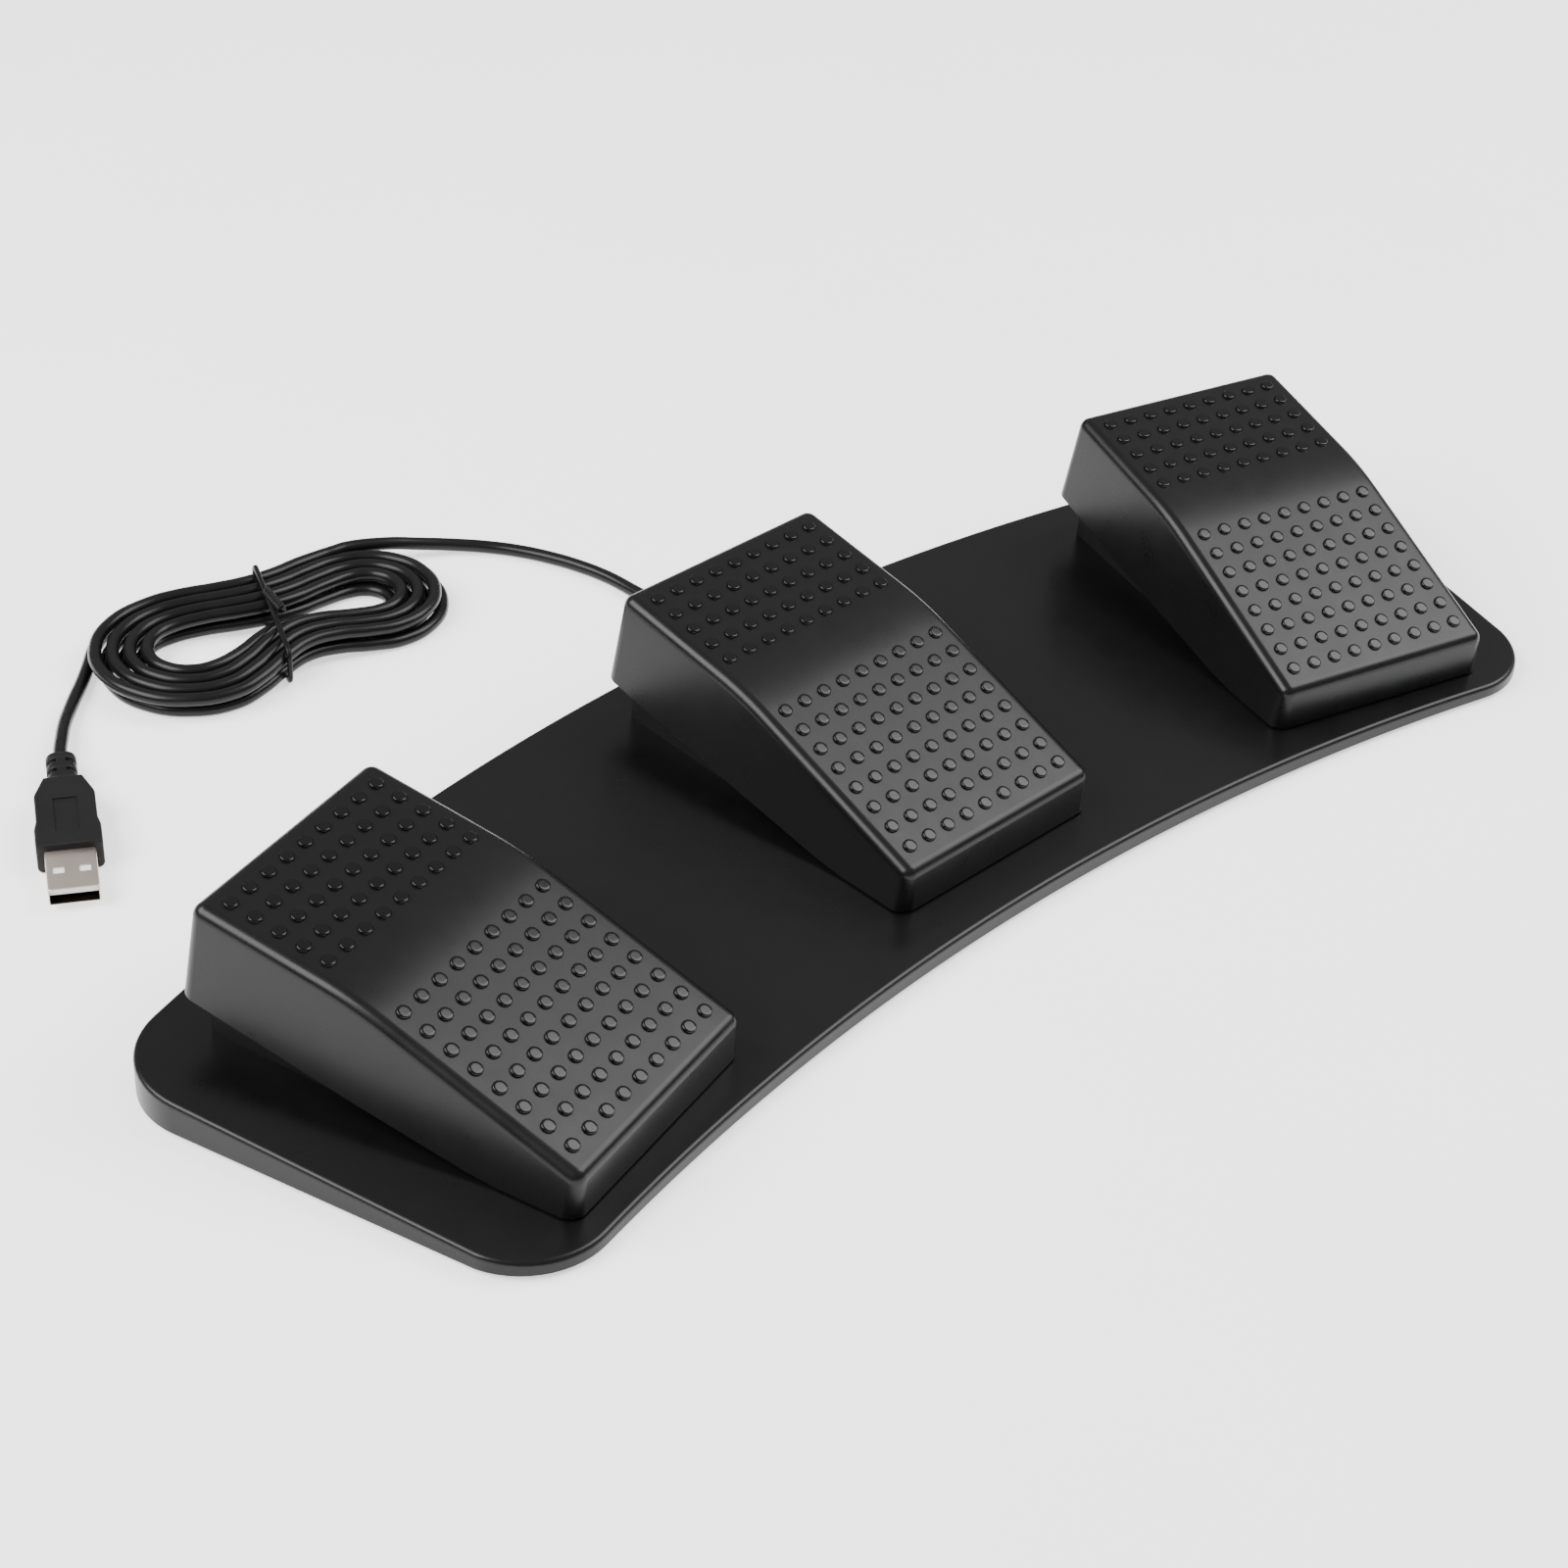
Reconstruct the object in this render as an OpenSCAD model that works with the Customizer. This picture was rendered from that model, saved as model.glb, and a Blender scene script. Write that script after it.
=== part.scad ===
// USB foot switch: three sprung pedals on one bowed base, with the cord wound into a hank.
// Millimetres. X runs to the right, Y to the rear and Z up. The rubber feet stand on Z = 0.

/* [Base] */
// Depth of the base on its middle line
base_depth = 122.5; // [118:0.5:135]
// Radius of the bowed rear edge
rear_radius = 612; // [560:1:680]
// Radius of the hollow front edge
front_radius = 626; // [580:1:700]
// From the middle of the rear edge to each end, square to that end
end_reach = 204.5; // [203:0.5:220]
// Slant of the two ends
end_angle = 14.85; // [13:0.05:17]
// Radius of the four corners in plan
corner_radius = 21; // [14:0.5:24]
// Height of the deck above the floor at the rear edge
deck_height = 12.4; // [12.2:0.1:16]
// Fall of the deck towards the front
deck_tilt = 3.2; // [2:0.1:3.3]
// Thickness of the deck
deck_t = 2; // [1.6:0.1:2.2]
// Side wall of the base shell
base_wall = 2.5; // [2:0.1:3]
// Rounding of the edge round the deck
deck_edge = 1.2; // [0.6:0.1:1.6]
// Thickness of the steel bottom plate
plate_t = 1; // [0.8:0.1:1.2]
// Width of the ledge that the bottom plate lies in
plate_ledge = 1.2; // [0.8:0.1:1.6]
// Height of the rubber feet below the bottom plate
foot_h = 1; // [0.8:0.1:1.2]
// Diameter of the rubber feet
foot_d = 14; // [10:0.5:16]

/* [Pedal places] */
// Hinge of the middle pedal in front of the rear edge
middle_setback = 87.2; // [86:0.1:92]
// Hinges of the side pedals in front of the rear edge
side_setback = 105.8; // [105:0.1:112]
// Hinges of the side pedals from the ends of the base
side_inset = 73.9; // [71:0.1:76]
// Turn of the side pedals towards the user
side_yaw = 14.7; // [12:0.1:16]

/* [Pedal cover] */
// Width across the tread
cover_w = 63.4; // [62:0.1:68]
// From the hinge to the front wall
cover_front = 22.7; // [22:0.1:26]
// From the hinge to the top of the rear wall
cover_rear = 76.7; // [76:0.1:82]
// Height of the tread above the deck at the middle of the rear field of bumps
tread_h = 34.5; // [33:0.1:40]
// Slope of the rear panel of the tread
rear_slope = 7.5; // [5:0.1:9]
// Slope of the front panel of the tread
front_slope = 18.8; // [17:0.1:20]
// From the hinge to the bend between the two panels
bend_y = 34.4; // [30:0.1:36]
// Radius of that bend
bend_r = 80; // [30:1:100]
// Outward lean of the side and rear walls
draft = 5; // [3:0.1:6]
// Rounding along the tread's edge
tread_edge = 3; // [2.6:0.1:4]
// Radius of the upright corners at the skirt
skirt_corner = 4; // [3:0.1:6]
// Wall of the cover
cover_wall = 2.4; // [1.8:0.1:2.5]
// Clearance of the skirt above the deck in front
skirt_gap = 0.5; // [0.4:0.1:1]
// Rise of the skirt's lower edge behind the hinge
skirt_rise = 9; // [8:0.1:11]
// Angle that the pedal turns through when it is pressed
press_angle = 5.5; // [3:0.1:6]

/* [Tread bumps] */
// Diameter of a bump
bump_d = 3.5; // [2.5:0.1:4.5]
// Height of a bump
bump_h = 0.9; // [0.7:0.1:1.4]
// Rounding of a bump's rim
bump_edge = 0.6; // [0.3:0.1:0.7]
// Distance from bump to bump
bump_pitch = 6.4; // [5.5:0.1:6.6]
// Bumps in one row
bump_cols = 9; // [5:2:9]
// Rows on the rear panel
rear_rows = 5; // [3:1:5]
// Rows on the front panel
front_rows = 8; // [5:1:8]
// From the hinge to the middle of the rear field
rear_field_y = 57.6; // [56:0.1:60]
// From the hinge to the middle of the front field
front_field_y = 4.5; // [2:0.1:6]

/* [Hinge and spring] */
// Height of the hinge pin above the deck
hinge_h = 7.5; // [7.2:0.1:9]
// Diameter of the hinge pin
pin_d = 4; // [3:0.1:4.4]
// Distance of the cover's hinge lugs from its middle
lug_x = 20; // [16:0.1:21]
// Thickness of a hinge lug
lug_t = 5; // [3:0.1:6]
// Running clearance of a moving piece on its pin or in its bore
run_gap = 0.05; // [0.02:0.01:0.1]
// Clearance of a fixed pin, peg or screw in its hole
seat_gap = 0.02; // [0.01:0.01:0.05]
// Clearance of a screw in the sheet or deck that it clamps
hole_gap = 0.2; // [0.1:0.05:0.4]
// From the hinge to the return spring
spring_y = 56; // [52:0.1:58]
// Diameter of the spring at the middle of its wire
spring_d = 10.4; // [9.5:0.1:12]
// Diameter of the spring's wire
spring_wire = 1.2; // [0.8:0.1:1.4]
// Turns of the spring
spring_turns = 6.5; // [5:0.5:8]
// Height of the spring's upper seat above the deck
spring_top = 29; // [27:0.1:29.5]

/* [Pedestal] */
// Gap between the pedestal and the cover's side walls below the tread
pedestal_side_gap = 1.1; // [0.8:0.1:2]
// From the top of the cover's rear wall to the pedestal's rear face
pedestal_rear_gap = 2.2; // [1.8:0.1:3]
// Gap between the pedestal and the cover's front wall
pedestal_front_gap = 5.3; // [4:0.1:8]
// Wall of the pedestal
pedestal_wall = 2.4; // [1.8:0.1:2.6]
// Floor of the pedestal
pedestal_floor = 2.4; // [1.8:0.1:2.8]
// Height of the pedestal's rear wall
pedestal_rear_h = 20; // [16:0.1:22]
// Height of the pedestal at the hinge
pedestal_front_h = 12.5; // [12:0.1:14]
// Diameter of the screws that hold the pedestal from below
pedestal_screw = 2.8; // [2.2:0.1:3.2]

/* [Micro switch] */
// Thickness of the switch body
switch_w = 10.3; // [9:0.1:10.5]
// Length of the switch body
switch_len = 27.8; // [26:0.1:28]
// Height of the switch body
switch_h = 15.9; // [15.5:0.1:16]
// From the pedestal's side face to the middle of the switch
switch_inset = 13.2; // [12.7:0.1:14.2]
// From the hinge to the front end of the switch
switch_y = 32; // [31:0.1:32.5]
// Height of the lever's pivot above the switch body
lever_pivot_h = 1.3; // [1.3:0.05:1.5]
// From the hinge to the rib on the cover that presses the lever
rib_y = 60; // [59.5:0.1:60.5]
// Height of that rib's lower edge above the deck
rib_h = 25.8; // [25.7:0.05:26]
// Thickness of the lever's spring steel
lever_t = 0.5; // [0.3:0.05:0.6]
// Gap between rib, lever and plunger at rest
touch_gap = 0.3; // [0.25:0.01:0.35]
// Diameter of the plunger
plunger_d = 2.4; // [2:0.1:2.6]
// Travel of the plunger
plunger_travel = 1.3; // [1:0.05:1.35]

/* [Cord and plug] */
// Diameter of the cord
cord_d = 3.5; // [3:0.1:3.6]
// Turns of cord in the hank
hank_turns = 7.25; // [5.25:2:7.25]
// Half length of the hank's straight runs
hank_run = 25; // [24:0.5:27]
// Half width of the outermost turn
hank_half_w = 24.2; // [23.5:0.1:25]
// How much the left lobe is wider, and the right one narrower
hank_skew = 2; // [0:0.1:2.2]
// How far the tie draws the waist in
hank_waist = 5.6; // [4:0.1:6]
// Step from turn to turn
hank_step = 4.4; // [4.3:0.05:4.5]
// Step from layer to layer
hank_layer = 4; // [4:0.05:4.2]
// Diameter of the twist tie
tie_d = 1.4; // [1:0.1:1.5]
// Length of the plug's ribbed strain relief
relief_len = 12; // [10:0.1:12.5]
// Length of the plug's grip
grip_len = 28.2; // [27:0.1:30]
// Width of the grip behind its mouth
grip_w = 14.4; // [14:0.1:15]
// Width of the grip's mouth
mouth_w = 15.6; // [15.4:0.1:16.2]
// Thickness of the grip
grip_t = 8; // [7.6:0.1:9]
// Width of the plug's metal shell
shell_w = 12; // [11.9:0.05:12.1]
// Height of the metal shell
shell_h = 4.5; // [4.4:0.05:4.6]
// Length of the metal shell beyond the grip
shell_len = 15.3; // [14:0.1:17]
// Sheet thickness of the metal shell
shell_t = 0.3; // [0.25:0.01:0.35]

/* [Hidden] */
$fn = 48;

// Plan of the base, with its origin at the middle of the rear edge
function dir(a) = [cos(a), sin(a)];
function unit(v) = v / norm(v);
function angle_of(v) = atan2(v.y, v.x);
function arc(c, r, a0, a1, n) = [for (k = [1:n]) c + r * dir(a0 + (a1 - a0) * k / n)];
end_out = dir(-end_angle);
end_along = dir(90 - end_angle);
rear_center = [0, -rear_radius];
front_center = [0, -base_depth - front_radius];

// Centre of the corner that touches an end and a circle of the given reach round an arc's centre
function corner_center(center, reach) =
    let (foot = end_out * (end_reach - corner_radius))
    let (rel = foot - center)
    let (along = rel * end_along)
    foot + end_along * (sqrt(along * along - rel * rel + reach * reach) - along);
rear_corner = corner_center(rear_center, rear_radius - corner_radius);
front_corner = corner_center(front_center, front_radius + corner_radius);
rear_tangent = angle_of(rear_corner - rear_center);
front_tangent = angle_of(front_center - front_corner);
arc_steps = 10;
corner_steps = 8;

// Outline of the base drawn in by an inset, clockwise from the middle of the rear edge
function plan(inset) =
    let (half = concat(
        [[0, -inset]],
        arc(rear_center, rear_radius - inset, 90, rear_tangent, arc_steps),
        arc(rear_corner, corner_radius - inset, rear_tangent, -end_angle, corner_steps),
        arc(front_corner, corner_radius - inset, -end_angle, front_tangent, corner_steps),
        arc(front_center, front_radius + inset, front_tangent + 180, 90, arc_steps)
    ))
    concat(half, [for (k = [len(half) - 2:-1:1]) [-half[k].x, half[k].y]]);
function deck_z(y) = deck_height + y * tan(deck_tilt);
function from_deck(p) = [
    p.x,
    p.y * cos(deck_tilt) - p.z * sin(deck_tilt),
    deck_height + p.y * sin(deck_tilt) + p.z * cos(deck_tilt)
];
function flat_ring(inset, z) = [for (p = plan(inset)) [p.x, p.y, z]];
function deck_ring(inset, drop) = [for (p = plan(inset)) [p.x, p.y, deck_z(p.y) - drop]];

// The part's origin is under the middle of the base's outline
row_y = -min([for (p = plan(0)) p.y]) / 2;
side_spread = end_reach - side_inset;
plate_top = foot_h + plate_t;

// Places of the fasteners and feet, mirrored to both sides, from the middle of the rear edge
screw_inset = [28.5, 38.5];
foot_inset = [24.5, 13.5];
corner_foot_inset = [46.5, -4.5];
bottom_screw_at = [[90, -24], [90, screw_inset.y - base_depth], [end_reach - screw_inset.x, -78]];
foot_at = [
    [60, -16], [50, foot_inset.y - base_depth], [end_reach - foot_inset.x, -56],
    [end_reach - corner_foot_inset.x, corner_foot_inset.y - base_depth]
];
bottom_screw_r = 1.3;
bottom_screw_reach = 4;
bottom_head_h = 0.8;
screw_boss_wall = 2.1;
plate_gap = 0.15;

// Overlap of shapes that are joined into one solid, and the depth of a cut past a face
merge = 0.1;
past = 1;

// Height of the tread above the deck, measured along a pedal from its hinge
bend_h = tread_h - (rear_field_y - bend_y) * tan(rear_slope);
function tread_z(y) =
    y > bend_y ? bend_h + (y - bend_y) * tan(rear_slope) : bend_h - (bend_y - y) * tan(front_slope);

// Middles of the rounding along the tread's edge, from rear to front, as [y, z]
function slope_normal(a) = [-sin(a), cos(a)];
bend_mid = (rear_slope + front_slope) / 2;
bend_half = (front_slope - rear_slope) / 2;
bend_center = [bend_y, bend_h] - slope_normal(bend_mid) * bend_r / cos(bend_half);
bend_steps = 4;
lean = tread_edge * (1 / cos(draft) - tan(draft));
rear_crest_y = cover_rear - lean;
front_crest_y = tread_edge - cover_front;
crest = concat(
    [[rear_crest_y, tread_z(rear_crest_y) - tread_edge / cos(rear_slope)]],
    [for (k = [0:bend_steps])
        bend_center + (bend_r - tread_edge) * slope_normal(rear_slope + 2 * bend_half * k / bend_steps)],
    [[front_crest_y, tread_z(front_crest_y) - tread_edge / cos(front_slope)]]
);
crest_x = cover_w / 2 - lean;

// Upright corners of the cover, carried below the skirt and trimmed there, as [x, y]
trim_z = -2;
function wall_x(y) = cover_w / 2 + (tread_z(y) - trim_z) * tan(draft);
rear_wall_y = cover_rear + (tread_z(cover_rear) - trim_z) * tan(draft);
skirt = [
    [wall_x(cover_rear) - skirt_corner, rear_wall_y - skirt_corner],
    [wall_x(bend_y) - skirt_corner, bend_y],
    [wall_x(-cover_front) - skirt_corner, skirt_corner - cover_front]
];

// Hinge, pedestal and switch, measured in the pedal's own frame
pedestal_w = cover_w - 2 * (cover_wall + pedestal_side_gap);
pedestal_rear = cover_rear - pedestal_rear_gap;
pedestal_front = cover_front - cover_wall - pedestal_front_gap;
pin_r = pin_d / 2;
lug_r = pin_r + 2.4;
spring_post_r = spring_d / 2 - spring_wire / 2 - 0.6;
spring_rest_gap = 0.3;
spring_post_h = 5.6;
pedestal_x = pedestal_w / 2;
switch_x = pedestal_x - switch_inset;
pedestal_screw_r = pedestal_screw / 2;
pedestal_boss_r = pedestal_screw_r + screw_boss_wall;
pedestal_boss_h = 10;
pedestal_screw_reach = 7;
pedestal_screw_at = [[-20, 14], [20, 14], [-20, 67], [20, 67]];
screw_head_h = 1.6;
peg_r = 1.5;
peg_spread = 22.2;
switch_top = pedestal_floor + switch_h;
pivot_y = switch_y + 2;
pivot_z = switch_top + lever_pivot_h;
pivot_pin_r = 0.5;
barrel_r = 1;
ear_t = 1.2;
ear_w = 3;
lever_w = switch_w - 2 * ear_t - 2 * touch_gap;
rib_r = 1;
rib_w = 6;

// The lever's slope at rest, and how far it and the plunger move with the pedal
function pressed(p) =
    let (rel = p - [0, hinge_h])
    [0, hinge_h] + [rel.x * cos(press_angle) + rel.y * sin(press_angle),
                    rel.y * cos(press_angle) - rel.x * sin(press_angle)];
function lever_slope(rib) = atan2(rib.y - touch_gap - pivot_z, rib.x - pivot_y);
lever_rest = lever_slope([rib_y, rib_h]);
lever_travel = lever_rest - lever_slope(pressed([rib_y, rib_h]));
lever_len = rib_y - pivot_y + 3;
plunger_y = pivot_y + 7;
plunger_top = pivot_z + (plunger_y - plunger_d / 2 - pivot_y) * tan(lever_rest) - lever_t / cos(lever_rest)
    - touch_gap;
plunger_len = 6.2;
peg_h = pedestal_floor + 3.2;
support_t = 3;
support_h = 11;
wire_hole = [13, 70];
wire_hole_r = 2.5;
terminal = [0.8, 4, 4];
terminal_x = 2.5;
terminal_z = pedestal_boss_h + 2;

// Controller board, hung below the deck beside the cord's way out
board_x = [-4, 48];
board_y = [-40, -14];
board_t = 1.6;
board_drop = 2;
board_screw_at = [[0, -36], [44, -36]];
board_screw_r = 1.1;
board_head_h = 1.2;
board_screw_reach = board_drop + 0.2;
board_top = -deck_t - board_drop;
chip_at = [16, -28];
chip = [7, 7, 1.2];
crystal_at = [28, -30];
crystal = [3.2, 10, 1.2];
connector = [5, 8, 1.4];
connector_y = -22;
connector_z = board_top - board_t - connector.z / 2;

// Cord's way out through the rear wall
exit_x = 22;
exit_z = 6.2;
exit_y = rear_center.y + sqrt(rear_radius * rear_radius - exit_x * exit_x);
grommet_hole_r = 3;
grommet_flange_r = 3.7;
grommet_flange_t = 2;
grommet_fit = 0.1;
flange_gap = 0.4;
boot_len = 10;
boot_collar = 2;
boot_base_r = 3.7;
boot_tip_r = 2.5;

// Routes of the free cord, in the part's own frame, and of the inner wires, below the deck
cord_z = 1.8;
lead_route = [
    [22, 87, 6], [22.2, 94.5, 4.6], [22.6, 103, 2.6], [23, 112, 1.8], [22.5, 123, 1.8], [20.5, 132.5, 1.8],
    [17.5, 141, 1.8], [13.5, 149, 1.8], [8.5, 156, 1.9], [2, 161.7, 2.6], [-6, 166.8, 3.8], [-14, 171, 5.2]
];
tail_route = [
    [-94, 188, 1.8], [-100, 184, 1.8], [-105.5, 178.6, 1.8], [-111, 173.4, 1.8], [-116.5, 168.6, 1.9],
    [-121.7, 163.8, 2.2], [-126.5, 158.8, 2.9], [-131, 153.3, 3.6]
];
wire_d = 1.4;
wire_gap = 0.1;
wire_pair = 1;
wire_stub = 3;
left_wire_x = [0.6, 12.6];
left_wire = [
    [left_wire_x[0] - side_spread, -36, -5], [left_wire_x[1] - side_spread, -37, -5],
    [-95, -36, -5], [-60, -30, -5], [-25, -24, -5.4]
];
right_wire_x = [23.4, 9.4, -12.6];
right_wire = [
    [side_spread + right_wire_x[0], -41, -5], [side_spread + right_wire_x[1], -38, -5],
    [side_spread + right_wire_x[2], -36, -5], [85, -34, -5], [66, -26, -5.4]
];
function wire_end(x, side) =
    [for (reach = [wire_stub, wire_gap]) [x + side * reach, connector_y, connector_z]];

// Hank
hank_at = [-59.5, 158.8];
hank_angle = -9;
hank_lift = tie_d + 0.5;
hank_lift_reach = 16;
hank_rings = 24;
climb_from = (hank_turns - 0.25) / 2;
function hank_lane(t) = hank_step * min(t, hank_turns - t);
function hank_w(u, t) =
    hank_half_w - hank_lane(t) - hank_skew * sin(90 * u / hank_run)
    - hank_waist * (1 + cos(180 * u / hank_run)) / 2;
function hank_level(t) = max(0, min(1, 1 - (t - climb_from) / 0.25));

// A turn's quarters are the rear run, the left lobe, the front run and the right lobe
function hank_plan(t) =
    let (f = t - floor(t))
    let (quarter = min(3, floor(f * 4)))
    let (q = f * 4 - quarter)
    let (u = (quarter < 2 ? 1 - 2 * q : 2 * q - 1) * hank_run)
    let (side = quarter < 2 ? 1 : -1)
    quarter % 2 == 0
        ? [u, side * hank_w(u, t)]
        : [-side * hank_run, 0] + hank_w(-side * hank_run, t) * dir(side * 90 + 180 * q);
function hank_point(t) =
    let (p = hank_plan(t))
    let (lift = abs(p.x) < hank_run ? hank_lift * exp(-pow(p.x / hank_lift_reach, 2)) : 0)
    [p.x, p.y, cord_z + hank_layer * hank_level(t) + lift];
hank_middle = [for (k = [0:hank_turns * hank_rings]) hank_point(k / hank_rings)];
hank_path = concat(
    [hank_middle[0] + [cord_d, 0, 0]],
    hank_middle,
    [hank_middle[len(hank_middle) - 1] - [cord_d, 0, 0]]
);
function turned(p, a) = [p.x * cos(a) - p.y * sin(a), p.x * sin(a) + p.y * cos(a), p.z];
function hank_place(p) = turned(p, hank_angle) + [hank_at.x, hank_at.y, 0];
hank_start = hank_place(hank_path[0]);
hank_end = hank_place(hank_path[len(hank_path) - 1]);

tie_gap = 0.2;
tie_bend = 2.5;
tie_at = [-2.5, -1.1];
tie_turn = -17;
tie_slack = 1.1;
tie_twist_at = 8;
tie_twist_r = 0.7 * tie_d;
tie_twist_turn = -78;
tie_twist_len = 10;

// Least gap of the wound cord to itself, on points between the rings
gap_steps = 3;
gap_points = [for (k = [0:len(hank_path) - 2], s = [0:gap_steps - 1])
    hank_path[k] + (hank_path[k + 1] - hank_path[k]) * s / gap_steps];
gap_skip = hank_rings * gap_steps / 2;
hank_gap = min([for (i = [0:len(gap_points) - 1], j = [i + gap_skip:1:len(gap_points) - 1])
    norm(gap_points[i] - gap_points[j])]) - cord_d;
function path_length(path) =
    let (steps = [for (k = [1:len(path) - 1]) norm(path[k] - path[k - 1])])
    steps * [for (step = steps) 1];

// Plug, lying on the floor past the hank
plug_at = [-137, 144.9];
plug_angle = -121.5;
plug_z = grip_t / 2;
grip_root_w = 9.6;
grip_shoulder = 7.2;
grip_end = relief_len + grip_len;
grip_cut = 1.3;
mouth_from = 10.4;
mouth_to = 7.2;
label_from = 2.1;
label_len = 13.2;
label_w = 5.8;
label_sink = 0.4;
relief_rib = [7.4, 6];
relief_neck = [5.4, 4.4];
relief_cut = 1.4;
relief_ribs = 3;
relief_rib_t = 2.7;
relief_bridge = [2.4, 5.4];
shell_back = 1;
tongue_t = 1.9;
tongue_inset = 1;
contact_pitch = 2.2;
contact_w = 1;
contact_t = 0.3;
shell_window = [2.3, 2.7];
window_from = 8.6;
window_y = 3.05;
plug_entry = [plug_at.x, plug_at.y, plug_z];
plug_stub = cord_d * concat(dir(plug_angle), 0);
hank_stub = cord_d * concat(dir(hank_angle), 0);
boot_end = [exit_x, row_y + exit_y + boot_len, exit_z];
lead_path = concat([boot_end, boot_end + [0, cord_d, 0]], lead_route, [hank_start + hank_stub, hank_start]);
tail_path = concat([hank_end, hank_end - hank_stub], tail_route, [plug_entry - plug_stub, plug_entry]);
grommet_back = [exit_x, exit_y - base_wall - flange_gap - grommet_flange_t, exit_z];
usb_path = concat(
    [grommet_back, grommet_back - [0, cord_d / 2, 0]],
    [for (reach = [wire_stub, wire_gap]) from_deck([exit_x, board_y[1] + reach, connector_z])]
);
echo(hank_least_gap = hank_gap);
echo(cord_length = path_length(lead_path) + path_length(hank_path) + path_length(tail_path));
echo(lever_travel = lever_travel, lever_ratio = lever_travel / press_angle);

// A closed solid through rings of points that all have the same count
module loft(rings) {
    n = len(rings[0]);
    last = (len(rings) - 1) * n;
    sides = [for (r = [0:len(rings) - 2], k = [0:n - 1], upper = [0, 1])
        let (a = r * n + k)
        let (b = r * n + (k + 1) % n)
        upper == 0 ? [a, b, b + n] : [a, b + n, a + n]];
    polyhedron(
        [for (ring = rings, p = ring) p],
        concat(sides, [[for (k = [n - 1:-1:0]) k]], [[for (k = [0:n - 1]) last + k]])
    );
}

// Directions along a path, and sideways directions carried along it without twist
function along(path, k) = unit(path[min(k + 1, len(path) - 1)] - path[max(k - 1, 0)]);
function square_to(n, t) = unit(n - (n * t) * t);
function carried(path, n, k = 0) =
    k == len(path) ? [] :
    let (m = square_to(n, along(path, k)))
    concat([m], carried(path, m, k + 1));

// A round tube swept along a path
module tube(path, d, sides, up = [0, 0, 1]) {
    ups = carried(path, up);
    loft([for (k = [0:len(path) - 1])
        let (across = cross(ups[k], along(path, k)))
        [for (s = [0:sides - 1])
            let (a = 360 * (s + 0.5) / sides)
            path[k] + d / 2 * (cos(a) * across + sin(a) * ups[k])]]);
}

// Frames: the base's plan, the deck and the three pedals on it
module on_base() { translate([0, row_y, 0]) children(); }
module on_deck() { on_base() translate([0, 0, deck_height]) rotate([deck_tilt, 0, 0]) children(); }
function pedal_at(side) = [side * side_spread, side == 0 ? -middle_setback : -side_setback, 0];
function from_pedal(p, side) = pedal_at(side) + turned(p, -side * side_yaw);
module at_pedal(side) { translate(pedal_at(side)) rotate([0, 0, -side * side_yaw]) children(); }
module on_pedal(side) { on_deck() at_pedal(side) children(); }
module both_sides(places) {
    for (p = places, s = [-1, 1]) translate([s * p.x, p.y, 0]) children();
}
module along_x(r, length) { rotate([0, 90, 0]) cylinder(r = r, h = length, center = true); }

// Holes through the deck for the pedestal's screws and the switch wires
module deck_holes() {
    for (side = [-1:1]) on_pedal(side) {
        for (p = pedestal_screw_at) translate([p.x, p.y, -deck_t - past])
            cylinder(r = pedestal_screw_r + hole_gap, h = deck_t + 2 * past);
        translate([wire_hole.x, wire_hole.y, -deck_t - past])
            cylinder(r = wire_hole_r, h = deck_t + 2 * past);
    }
}

// Upper half of the base: a deck with a turned-down wall, bosses below and the cord's way out
module base_shell() color("#1b1b1c") {
    difference() {
        union() {
            difference() {
                on_base() loft(concat(
                    [flat_ring(0, foot_h)],
                    [for (a = [0:30:90]) deck_ring(deck_edge * (1 - cos(a)), deck_edge * (1 - sin(a)))]
                ));
                on_base() loft([flat_ring(base_wall, foot_h - past), deck_ring(base_wall, deck_t)]);
                on_base() translate([0, 0, foot_h - past])
                    linear_extrude(plate_t + past) polygon(plan(plate_ledge));
            }
            for (p = bottom_screw_at)
                on_base() both_sides([p]) translate([0, 0, plate_top])
                    cylinder(r = bottom_screw_r + screw_boss_wall, h = deck_z(p.y) - deck_t / 2 - plate_top);
            for (p = board_screw_at)
                on_deck() translate([p.x, p.y, board_top])
                    cylinder(r = board_screw_r + screw_boss_wall, h = board_drop + deck_t / 2);
        }
        deck_holes();
        on_base() both_sides(bottom_screw_at)
            translate([0, 0, foot_h])
                cylinder(r = bottom_screw_r + seat_gap, h = bottom_screw_reach + hole_gap);
        for (p = board_screw_at) on_deck() translate([p.x, p.y, board_top - past])
            cylinder(r = board_screw_r + seat_gap, h = past + board_screw_reach + hole_gap);
        on_base() translate([exit_x, exit_y - base_wall, exit_z]) rotate([90, 0, 0])
            cylinder(r = grommet_hole_r, h = 2 * base_wall + 2 * past, center = true);
    }
}

// Flat steel sheet that closes the base from below
module bottom_plate() color("#262628") on_base() difference() {
    translate([0, 0, foot_h]) linear_extrude(plate_t) polygon(plan(plate_ledge + plate_gap));
    both_sides(bottom_screw_at) cylinder(r = bottom_screw_r + hole_gap, h = 3 * plate_top, center = true);
}

module bottom_screws() color("#8d8f92") on_base() both_sides(bottom_screw_at) {
    translate([0, 0, foot_h - bottom_head_h]) cylinder(r = 2 * bottom_screw_r, h = bottom_head_h);
    translate([0, 0, foot_h - merge]) cylinder(r = bottom_screw_r, h = bottom_screw_reach + merge);
}

// Stuck-on round feet with a chamfered rim
module rubber_feet() color("#101010") on_base() both_sides(foot_at) {
    cylinder(r1 = foot_d / 2 - foot_h / 2, r2 = foot_d / 2, h = foot_h / 2);
    translate([0, 0, foot_h / 2]) cylinder(r = foot_d / 2, h = foot_h / 2);
}

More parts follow.
